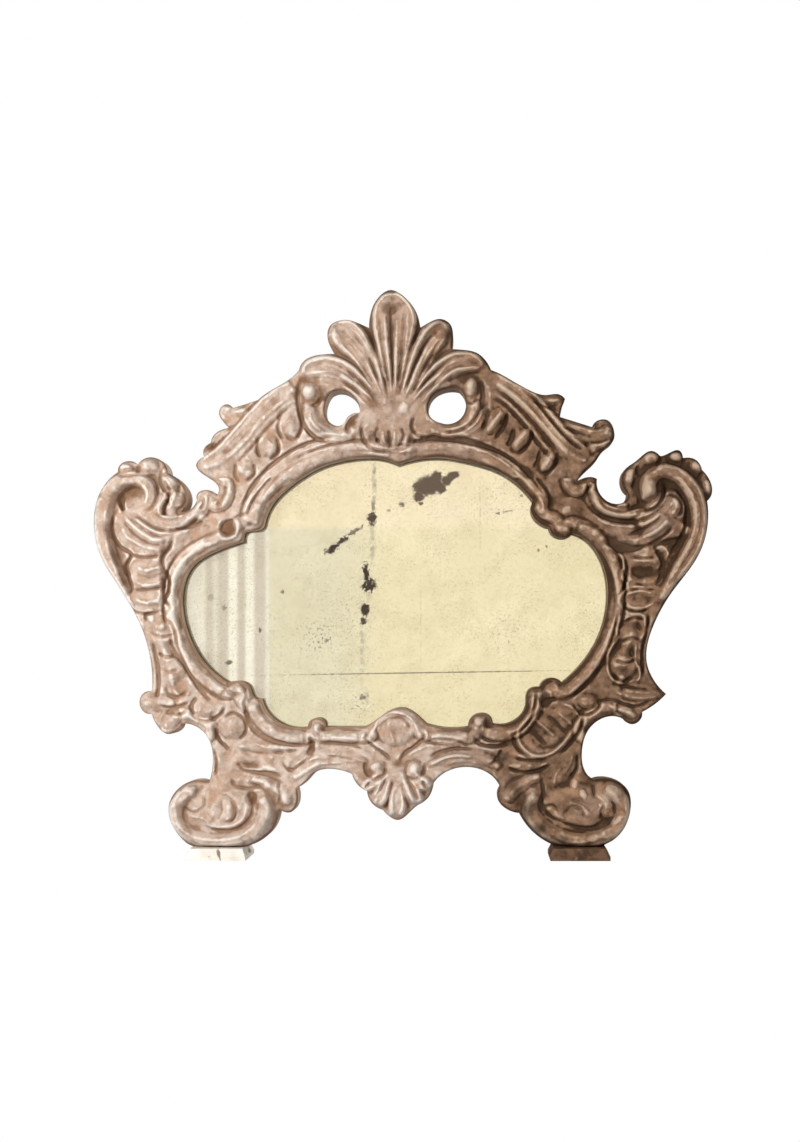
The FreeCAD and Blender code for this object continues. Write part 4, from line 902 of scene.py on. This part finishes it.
def grime_and_shade_depth(s, right, fine):
    """How dark the carving's hollows, edges and low parts are made: partly dirt, partly painted shade, more
    at the shaded right.
    """
    # Painted shade along the outline, where the carving turns away, partly dirt
    rim = s.math("MULTIPLY", s.span(s.attribute("edge"), 0.1, 1.0), s.span(right, 0.0, 1.0, 0.85, 1.1))
    # Painted shade on the low grounds between tall forms, stronger at the shaded right
    low = s.math("MULTIPLY", s.span(s.attribute("height"), 7.5, 3.0), s.span(right, 0.0, 1.0, 0.12, 0.55))
    return s.total(s.span(s.attribute("cavity"), 0.15, 1.1), s.span(s.attribute("hollow"), 0.4, 2.4),
                   rim, low, s.span(fine, 0.35, 0.75, -0.2, 0.25))


def gilt_material():
    """Worn water gilding over red bole and gesso, with old dirt and painted shade in its hollows, and
    painted light across it.
    """
    s = Shader(bpy.data.materials.new("worn_gilding_with_painted_light"))
    fine = s.noise(240, 6, 0.65)
    broad = s.span(s.noise(26, 5), 0.3, 0.7, -0.25, 0.25)
    right = s.span(s.math("ADD", shaded_side_share(s), broad), 0.0, 1.0)
    deep = grime_and_shade_depth(s, right, fine)
    soot_and_shade = s.math("ADD", s.attribute("grime_and_shade"), s.span(fine, 0.35, 0.75, -0.2, 0.2))
    tone = gilt_tone(s, right, fine)
    # Dirt and painted shade in the hollows and recesses, lighter at the lit left
    tone = s.mix(s.span(deep, 0.2, 1.2, 0, 0.92), tone, s.mix(right, *GILT_GRIME_AND_SHADE))
    # Dirt and painted shadow from the spots, lighter at the lit left
    tone = s.mix(s.span(soot_and_shade, 0.1, 0.95, 0, 0.95), tone, s.mix(right, *GILT_DIRT_AND_SHADE))
    tone = s.mix(s.span(s.noise(480, 3, 0.7), 0.62, 0.70, 0, 0.6), tone, SPECKS)
    cracks = s.node("TexVoronoi", {"Vector": s.place(), "Scale": 150.0}, feature="DISTANCE_TO_EDGE")
    normal = s.bump(s.span(cracks, 0.0, 0.06), 0.00012, 0.4)
    normal = s.bump(fine, 0.0010, 0.6, normal)
    shine = s.span(s.math("MAXIMUM", deep, soot_and_shade), 0.2, 1.0, 0.5, 0.06)
    return s.surface(base_color=tone, metallic=0.15, roughness=s.span(fine, 0.3, 0.7, 0.42, 0.66),
                     specular_ior_level=shine, normal=normal)


# Colours of wood, light and dark, and of the boards' gilded sides, dark and light, in a lit pale pair for
# the left and a shaded brown pair for the right, as painted light
BOARD_WOOD = ((0.40, 0.26, 0.15), (0.20, 0.12, 0.065))
BARE_WOOD = ((0.46, 0.31, 0.18), (0.26, 0.16, 0.085))
WOOD_STAIN = (0.10, 0.065, 0.04)
PALE_SIDE = ((0.42, 0.31, 0.24), (0.62, 0.50, 0.41))
BROWN_SIDE = ((0.14, 0.075, 0.042), (0.30, 0.18, 0.11))


def wood_tone(s, light, dark):
    """Old sawn wood with its grain standing upright."""
    stretched = s.node("Mapping", {"Vector": s.place(), "Scale": (60, 60, 5)})
    grain = s.node("TexNoise", {"Vector": stretched, "Scale": 2.2, "Detail": 6.0, "Roughness": 0.65,
                                "Distortion": 0.8})
    tone = s.mix(s.span(grain, 0.32, 0.68), dark, light)
    stain = s.span(s.noise(14, 4), 0.45, 0.7, 0, 0.55)
    return s.mix(stain, tone, WOOD_STAIN), grain


def board_material():
    """Boards: worn gilding before and at the sides, lit pale at the left and shaded brown at the right by
    painted light, bare wood behind.
    """
    s = Shader(bpy.data.materials.new("frame_boards"))
    wood, grain = wood_tone(s, *BOARD_WOOD)
    patchy = s.span(s.noise(40, 5), 0.4, 0.65)
    # Painted light: the sides lit pale at the left and shaded brown at the right
    edge = s.mix(shaded_side_share(s), s.mix(patchy, *PALE_SIDE), s.mix(patchy, *BROWN_SIDE))
    facing = s.node("SeparateXYZ", {0: s.node("TexCoord", output="Normal")}, output="Y")
    tone = s.mix(s.span(facing, 0.4, 0.6), edge, wood)
    return s.surface(base_color=tone, roughness=0.72, normal=s.bump(grain, 0.0008, 0.5))


def bare_wood_material():
    s = Shader(bpy.data.materials.new("bare_wood"))
    wood, grain = wood_tone(s, *BARE_WOOD)
    return s.surface(base_color=wood, roughness=0.78, normal=s.bump(grain, 0.0008, 0.6))


# Colours of the gesso, the iron and the glass
GESSO = ((0.86, 0.83, 0.77), (0.66, 0.60, 0.52))
GESSO_RUBBED = (0.36, 0.27, 0.19)
# Dark of the crack, also the painted shadow at the plinth's top corners
GESSO_CRACK_AND_SHADOW = (0.24, 0.18, 0.14)
TONED_GESSO = ((0.06, 0.031, 0.018), (0.15, 0.082, 0.046))
TONED_RUBBED = (0.30, 0.19, 0.12)
IRON = (0.09, 0.085, 0.08)
RUST = (0.15, 0.075, 0.04)
GLASS_TINT = (0.97, 0.985, 0.965)
GLASS_IOR = 1.5
WHITE = (1, 1, 1)

# A crack in the pale plinth's gesso, and painted shadow at its two top corners: place and radii in pixels,
# and turn in degrees
PLINTH_CRACKS_AND_SHADOWS = [(223, 853, 1.8, 7, 20), (190, 848, 3, 3, 0), (249, 849, 2, 5, 0)]


def mark_reach(s, x, y, wide, tall, turn):
    """How far a point lies from a mark's middle, in shares of its radii."""
    centre = to_metres(x, y, 0.0)
    spot = s.node("Mapping", {"Vector": s.place(), "Location": (centre[0], 0, centre[2]),
                              "Rotation": (0, -np.radians(turn), 0),
                              "Scale": (wide * ACROSS_PER_PIXEL, 1, tall * UP_PER_PIXEL)},
                  vector_type="TEXTURE")
    return s.node("VectorMath", {0: spot}, output="Value", operation="LENGTH")


def gesso_material():
    """Bare cream gesso, worn back and cracked, with painted shadow at the top corners."""
    s = Shader(bpy.data.materials.new("bare_gesso"))
    fine = s.noise(160, 5)
    tone = s.mix(s.span(s.noise(45, 5), 0.4, 0.7), *GESSO)
    tone = s.mix(s.span(s.noise(120, 6, 0.7), 0.62, 0.74), tone, GESSO_RUBBED)
    for x, y, wide, tall, turn in PLINTH_CRACKS_AND_SHADOWS:
        gap = s.math("ADD", mark_reach(s, x, y, wide, tall, turn), s.span(fine, 0.3, 0.7, -0.5, 0.5))
        tone = s.mix(s.span(gap, 1.0, 0.6), tone, GESSO_CRACK_AND_SHADOW)
    return s.surface(base_color=tone, roughness=0.8, normal=s.bump(fine, 0.001, 0.5))


def toned_gesso_material():
    s = Shader(bpy.data.materials.new("toned_gesso"))
    tone = s.mix(s.span(s.noise(90, 5), 0.42, 0.58), *TONED_GESSO)
    tone = s.mix(s.span(s.noise(130, 6, 0.7), 0.58, 0.72), tone, TONED_RUBBED)
    return s.surface(base_color=tone, roughness=0.7, specular_ior_level=0.2,
                     normal=s.bump(s.noise(160), 0.001, 0.5))


def iron_material():
    s = Shader(bpy.data.materials.new("old_iron"))
    rust = s.span(s.noise(300, 5), 0.45, 0.65)
    tone = s.mix(rust, IRON, RUST)
    return s.surface(base_color=tone, metallic=0.8, roughness=s.span(rust, 0, 1, 0.42, 0.75),
                     normal=s.bump(s.noise(500), 0.0004, 0.5))


def glass_material():
    """Clear old glass: it lets light straight through and mirrors a little."""
    s = Shader(bpy.data.materials.new("old_glass"))
    ripple = s.bump(s.noise(9, 1), 0.0006, 0.25)
    clear = s.node("BsdfTransparent", {"Color": GLASS_TINT})
    gloss = s.node("BsdfGlossy", {"Color": WHITE, "Roughness": 0.02, "Normal": ripple})
    outside = s.math("SUBTRACT", 1.0, s.node("NewGeometry", output="Backfacing"))
    share = s.math("MULTIPLY", s.node("Fresnel", {"IOR": GLASS_IOR, "Normal": ripple}), outside)
    return s.end(s.node("MixShader", {0: share, 1: clear, 2: gloss}))


# Losses in the silvering: place and radii in pixels, turn in degrees, raggedness, and strength
SILVER_LOSSES = [
    (428, 484, 18, 12, 17, 0.25, 1.0), (418, 484, 7, 6, 10, 0.3, 1.0), (436, 475, 7, 7, 20, 0.3, 1.0),
    (440, 486, 7, 7, 20, 0.3, 1.0), (418, 495, 7, 6, 20, 0.3, 1.0), (446, 479, 6, 6, 20, 0.3, 1.0),
    (452, 474, 9, 5, 20, 0.3, 1.0), (371, 517, 5, 8, -12, 0.7, 1.2), (372, 505, 2, 7, 0, 0.8, 0.8),
    (331, 547, 9, 4, 33, 0.8, 1.3), (341, 539, 9, 3.4, 33, 0.9, 1.2), (354, 530, 10, 2.2, 33, 1.1, 0.9),
    (365, 572, 3.4, 11, 5, 0.7, 1.3), (368, 585, 8, 7, 20, 0.8, 1.3), (364, 609, 5, 7, 0, 0.7, 1.3),
    (362, 621, 4, 4, 0, 0.8, 1.1), (362, 697, 5, 3, 0, 1.0, 0.8), (401, 503, 3, 3, 0, 0.8, 0.9),
    (420, 502, 3, 2, 0, 0.8, 0.9), (388, 509, 2.4, 1.8, 0, 0.8, 0.7), (281, 591, 2.4, 2.2, 0, 0.7, 0.8),
    (258, 630, 2.2, 2.6, 0, 0.7, 0.9), (222, 607, 3, 3, 0, 0.8, 0.7), (226, 663, 4, 3, 20, 0.8, 0.9),
    (208, 597, 3, 4, 0, 0.9, 0.5), (325, 641, 2.4, 2.4, 0, 0.7, 0.8), (522, 494, 2, 1.8, 0, 0.7, 0.7),
    (498, 512, 2.6, 1.4, 10, 0.7, 0.8), (507, 510, 8, 0.9, 12, 1.0, 0.6), (539, 549, 1.8, 2, 0, 0.7, 0.7),
    (547, 545, 1.8, 1.8, 0, 0.7, 0.7), (418, 673, 154, 0.8, 0.9, 0.6, 0.75),
]
# Foxed patches, sprinkled with specks: place and radii in pixels, and strength
FOXED_PATCHES = [
    (317, 637, 34, 24, 0.85), (350, 620, 30, 60, 0.4), (507, 632, 22, 34, 0.45), (352, 706, 24, 18, 0.65),
    (372, 480, 14, 34, 0.4), (440, 545, 28, 30, 0.25), (500, 500, 60, 34, 0.25), (225, 620, 46, 70, 0.3),
]
# Brown streaks, in the same way
FOXED_STREAKS = [
    (371, 545, 4, 34, 0.6), (361, 648, 3, 46, 0.6), (373, 480, 3, 36, 0.8), (364, 700, 5, 16, 0.5),
    (480, 515, 1.4, 45, 0.3), (420, 625, 1.2, 65, 0.2), (365, 590, 9, 60, 0.3),
]

SILVER = ((0.84, 0.75, 0.60), (0.90, 0.815, 0.67))
SILVER_CLOUDS = (0.76, 0.67, 0.51)
SILVER_SPECKS = (0.74, 0.66, 0.51)
LOSS_TONES = ((0.10, 0.061, 0.040), (0.03, 0.014, 0.008))


def silvering_material():
    """Tin amalgam gone cream, with foxing and dark losses, the darkest of a strength over one."""
    s = Shader(bpy.data.materials.new("mercury_silvering"))
    ragged, broken = s.noise(330, 6, 0.75), s.noise(150, 5, 0.7)
    specks = s.span(s.noise(480, 3, 0.6), 0.56, 0.64)
    lost = s.math("MULTIPLY", specks, s.span(s.noise(30, 3), 0.45, 0.65, 0.03, 0.25))
    for rows, breakup in ((FOXED_PATCHES, specks), (FOXED_STREAKS, s.span(broken, 0.42, 0.62))):
        for x, y, wide, tall, strength in rows:
            near = s.span(mark_reach(s, x, y, wide, tall, 0), 1.0, 0.3, 0, strength)
            lost = s.math("MAXIMUM", lost, s.math("MULTIPLY", near, breakup))
    for x, y, wide, tall, turn, rag, strength in SILVER_LOSSES:
        worn = s.math("ADD", mark_reach(s, x, y, wide, tall, turn), s.span(ragged, 0.3, 0.7, -rag, rag))
        lost = s.math("MAXIMUM", lost, s.span(worn, 1.0, 0.7, 0, strength))
    tone = s.mix(s.span(s.noise(14, 4), 0.38, 0.62), *SILVER)
    tone = s.mix(s.span(s.noise(60, 4), 0.45, 0.68, 0, 0.6), tone, SILVER_CLOUDS)
    tone = s.mix(s.span(s.noise(300, 3), 0.5, 0.7, 0, 0.4), tone, SILVER_SPECKS)
    tone = s.mix(lost, tone, s.mix(s.span(lost, 1.0, 1.3), *LOSS_TONES))
    return s.surface(base_color=tone, metallic=s.span(lost, 0, 1, 0.85, 0.0),
                     roughness=s.span(s.noise(30, 3), 0.3, 0.7, 0.004, 0.012),
                     specular_ior_level=s.span(lost, 0, 1, 0.5, 0.0))


MATERIALS = {
    "gilt_wood": gilt_material(), "frame_wood": board_material(), "bare_wood": bare_wood_material(),
    "gesso": gesso_material(), "toned_gesso": toned_gesso_material(), "glass": glass_material(),
    "silvering": silvering_material(), "iron": iron_material(),
}


PLATE_SHARE = 0.96             # of a plate's thickness


def coat(obj, slot):
    obj.data.materials.clear()
    obj.data.materials.append(MATERIALS[slot])


def dress(obj, slot):
    """Gives a new piece the material of its slot."""
    coat(obj, slot)


def build_carving():
    """The carved pieces, each in place of its CAD node, and two halves of ground between them."""
    relief = Relief()
    relief.settle_edges()
    labels = relief.labels[:-1, :-1]
    for number, node in enumerate(CARVINGS):
        piece = relief.piece("carved_" + node, labels == number)
        dress(piece, "gilt_wood")
        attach(piece, "frame")
        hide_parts(node)
    left = np.arange(labels.shape[1]) < labels.shape[1] // 2
    for side, half in (("left", left), ("right", ~left)):
        ground = relief.piece("gilded_ground_" + side, (labels < 0) & half)
        dress(ground, "gilt_wood")
        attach(ground, "frame")


def lay_plate(node):
    """A flat plate in place of a CAD node, a hair thinner, so that its faces lie clear of others."""
    source = frame["nodes"][node].data
    low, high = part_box(node)
    middle = (low.y + high.y) / 2
    corners = (vertex.co for vertex in source.vertices)
    points = [(x, middle + (y - middle) * PLATE_SHARE, z) for x, y, z in corners]
    mesh = bpy.data.meshes.new("flat_" + node)
    mesh.from_pydata(points, [], [face.vertices for face in source.polygons])
    plate = new_object("flat_" + node, mesh)
    plate.matrix_world = frame["nodes"][node].matrix_world.copy()
    dress(plate, SLOTS[node])
    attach(plate, "frame")
    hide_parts(node)


def dress_cad_nodes():
    for node, slot in SLOTS.items():
        coat(frame["nodes"][node], slot)


# Camera, light and staging, in metres

CAMERA_DISTANCE = 1.2
CAMERA_ACROSS = 0.06
CAMERA_UP = 0.158
SENSOR_WIDTH = 36.0            # mm
CARD_DISTANCE = 1.6
FLOOR_HALF = 1.6
CARD_HALF = 5.0
SQUARE = ((-1, -1), (1, -1), (1, 1), (-1, 1))
DIM_ROOM = (0.13, 0.13, 0.135)
FLOOR_GREY = (0.6, 0.6, 0.6)

# Lamps, aimed at the part's middle: place and size in metres, energy in watts and colour
LAMPS = {
    "key": ((-0.80, -1.02, 0.47), 0.38, 19.0, (0.985, 0.985, 0.98)),
    "back": ((0.6, 1.1, 0.8), 0.9, 14.0, (1.0, 0.97, 0.93)),
    "fill": ((0.9, -1.2, 0.5), 0.9, 6.0, (1.0, 0.95, 0.9)),
}

# Pale uprights in the room, as the mirror shows them: middle and half width in columns, and paleness
ROOM_UPRIGHTS = [(194, 9.0, 0.7), (213, 2.5, 0.5), (230.5, 4.5, 1.0), (247.5, 4.5, 1.0), (265.5, 2.5, 0.7)]
ROOM_SIDE_COLUMN = 268.0       # where the uprights end
UPRIGHT_SOFTNESS = 1.8         # pixels
ROOM_TOP_ROW = 524             # above it, the wall is pinker
ROOM_SILL_ROW = 530
ROOM_CORNER_COLUMN = 372       # where the wall grows warmer
CORNER_REACH = (-34, 16)       # pixels, to its left and right
ROOM_WALL = ((0.885, 0.84, 0.765), (1.01, 0.915, 0.745))
ROOM_SIDE = ((0.72, 0.65, 0.68), (1.10, 1.08, 1.17))
ROOM_TOP = (1.08, 0.955, 0.83)
ROOM_STRENGTH = 1.13


def set_camera():
    """A camera straight before the part, with its frame moved to the photo's."""
    camera = bpy.data.cameras.new("camera")
    obj = new_object("camera", camera)
    obj.location = (CAMERA_ACROSS, BOARD_FRONT - CAMERA_DISTANCE, CAMERA_UP)
    obj.rotation_euler = (np.pi / 2, 0, 0)
    view_height = IMAGE_PIXELS[1] * UP_PER_PIXEL
    middle = to_metres(IMAGE_PIXELS[0] / 2, IMAGE_PIXELS[1] / 2, 0.0)
    camera.sensor_width = SENSOR_WIDTH
    camera.lens = SENSOR_WIDTH * CAMERA_DISTANCE / view_height
    camera.shift_x = (middle[0] - CAMERA_ACROSS) / view_height
    camera.shift_y = (middle[2] - CAMERA_UP) / view_height
    bpy.context.scene.camera = obj


def add_lamp(name, aim, place, size, energy, colour):
    lamp = bpy.data.lights.new(name, "AREA")
    lamp.size, lamp.energy, lamp.color = size, energy, colour
    obj = new_object(name, lamp)
    obj.location = place
    obj.rotation_euler = (Vector(aim) - Vector(place)).to_track_quat("-Z", "Y").to_euler()
    obj.visible_glossy = False


def set_world():
    """White to the camera and in mirrors, and a soft dim room to everything else."""
    world = bpy.data.worlds.new("room")
    bpy.context.scene.world = world
    s = Shader(world, "OutputWorld")
    s.end(s.node("Background", {"Color": s.mix(s.plainly_seen(), DIM_ROOM, WHITE)}))


def add_sheet(name, corners, material):
    mesh = bpy.data.meshes.new(name)
    mesh.from_pydata(corners, [], [(0, 1, 2, 3)])
    mesh.materials.append(material)
    obj = new_object(name, mesh)
    return obj


def floor_material():
    """A pale floor, white to the camera and in mirrors."""
    s = Shader(bpy.data.materials.new("floor"))
    matt = s.node("BsdfDiffuse", {"Color": FLOOR_GREY})
    white = s.node("Emission", {"Color": WHITE, "Strength": 1.0})
    return s.end(s.node("MixShader", {0: s.plainly_seen(), 1: matt, 2: white}))


def seen_in_mirror(across, down):
    """Where on the card the mirror shows a pixel of the photo: across and up."""
    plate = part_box("mercury_amalgam")[0].y
    spread = (CARD_DISTANCE + plate) / (CAMERA_DISTANCE - BOARD_FRONT + plate)
    x, _, z = to_metres(across, down, 0.0)
    return x + (x - CAMERA_ACROSS) * spread, z + (z - CAMERA_UP) * spread


def card_material():
    """What the mirror faces: a cream wall, pinker above, with pale uprights at one side."""
    s = Shader(bpy.data.materials.new("room_card"))
    x, z = s.coordinate("X"), s.coordinate("Z")
    end, top = seen_in_mirror(ROOM_SIDE_COLUMN, ROOM_TOP_ROW)
    corner, sill = seen_in_mirror(ROOM_CORNER_COLUMN, ROOM_SILL_ROW)
    pixel = seen_in_mirror(ROOM_SIDE_COLUMN + 1, 0)[0] - end
    wall = s.mix(s.span(x, *(corner + reach * pixel for reach in CORNER_REACH)), *ROOM_WALL)
    pale = s.span(x, end, end + pixel)
    for column, half, level in ROOM_UPRIGHTS:
        gap = s.math("ABSOLUTE", s.math("SUBTRACT", x, seen_in_mirror(column, 0)[0]), 0.0)
        outer, inner = (half + UPRIGHT_SOFTNESS) * pixel, (half - UPRIGHT_SOFTNESS) * pixel
        pale = s.math("MAXIMUM", pale, s.span(gap, outer, inner, 0, level))
    wall = s.mix(s.span(x, end + pixel, end), wall, s.mix(pale, *ROOM_SIDE))
    wall = s.mix(s.span(z, sill, top), wall, ROOM_TOP)
    return s.end(s.node("Emission", {"Color": wall, "Strength": ROOM_STRENGTH}))


def set_stage():
    """The floor, the card that the mirror faces, and the lamps."""
    floor = CAD_LOW.z - MM
    add_sheet("floor", [(x * FLOOR_HALF, y * FLOOR_HALF, floor) for x, y in SQUARE], floor_material())
    corners = [(x * CARD_HALF, -CARD_DISTANCE, z * CARD_HALF) for z, x in SQUARE]
    card = add_sheet("room_card", corners, card_material())
    card.visible_camera = card.visible_diffuse = card.visible_shadow = False
    aim = (0, 0, (CAD_HIGH.z + CAD_LOW.z) / 2)
    for name, settings in LAMPS.items():
        add_lamp(name, aim, *settings)


build_carving()
dress_cad_nodes()
lay_plate("mirror_glass")
lay_plate("mercury_amalgam")
set_camera()
set_world()
set_stage()
bpy.context.scene.view_settings.view_transform = "Standard"
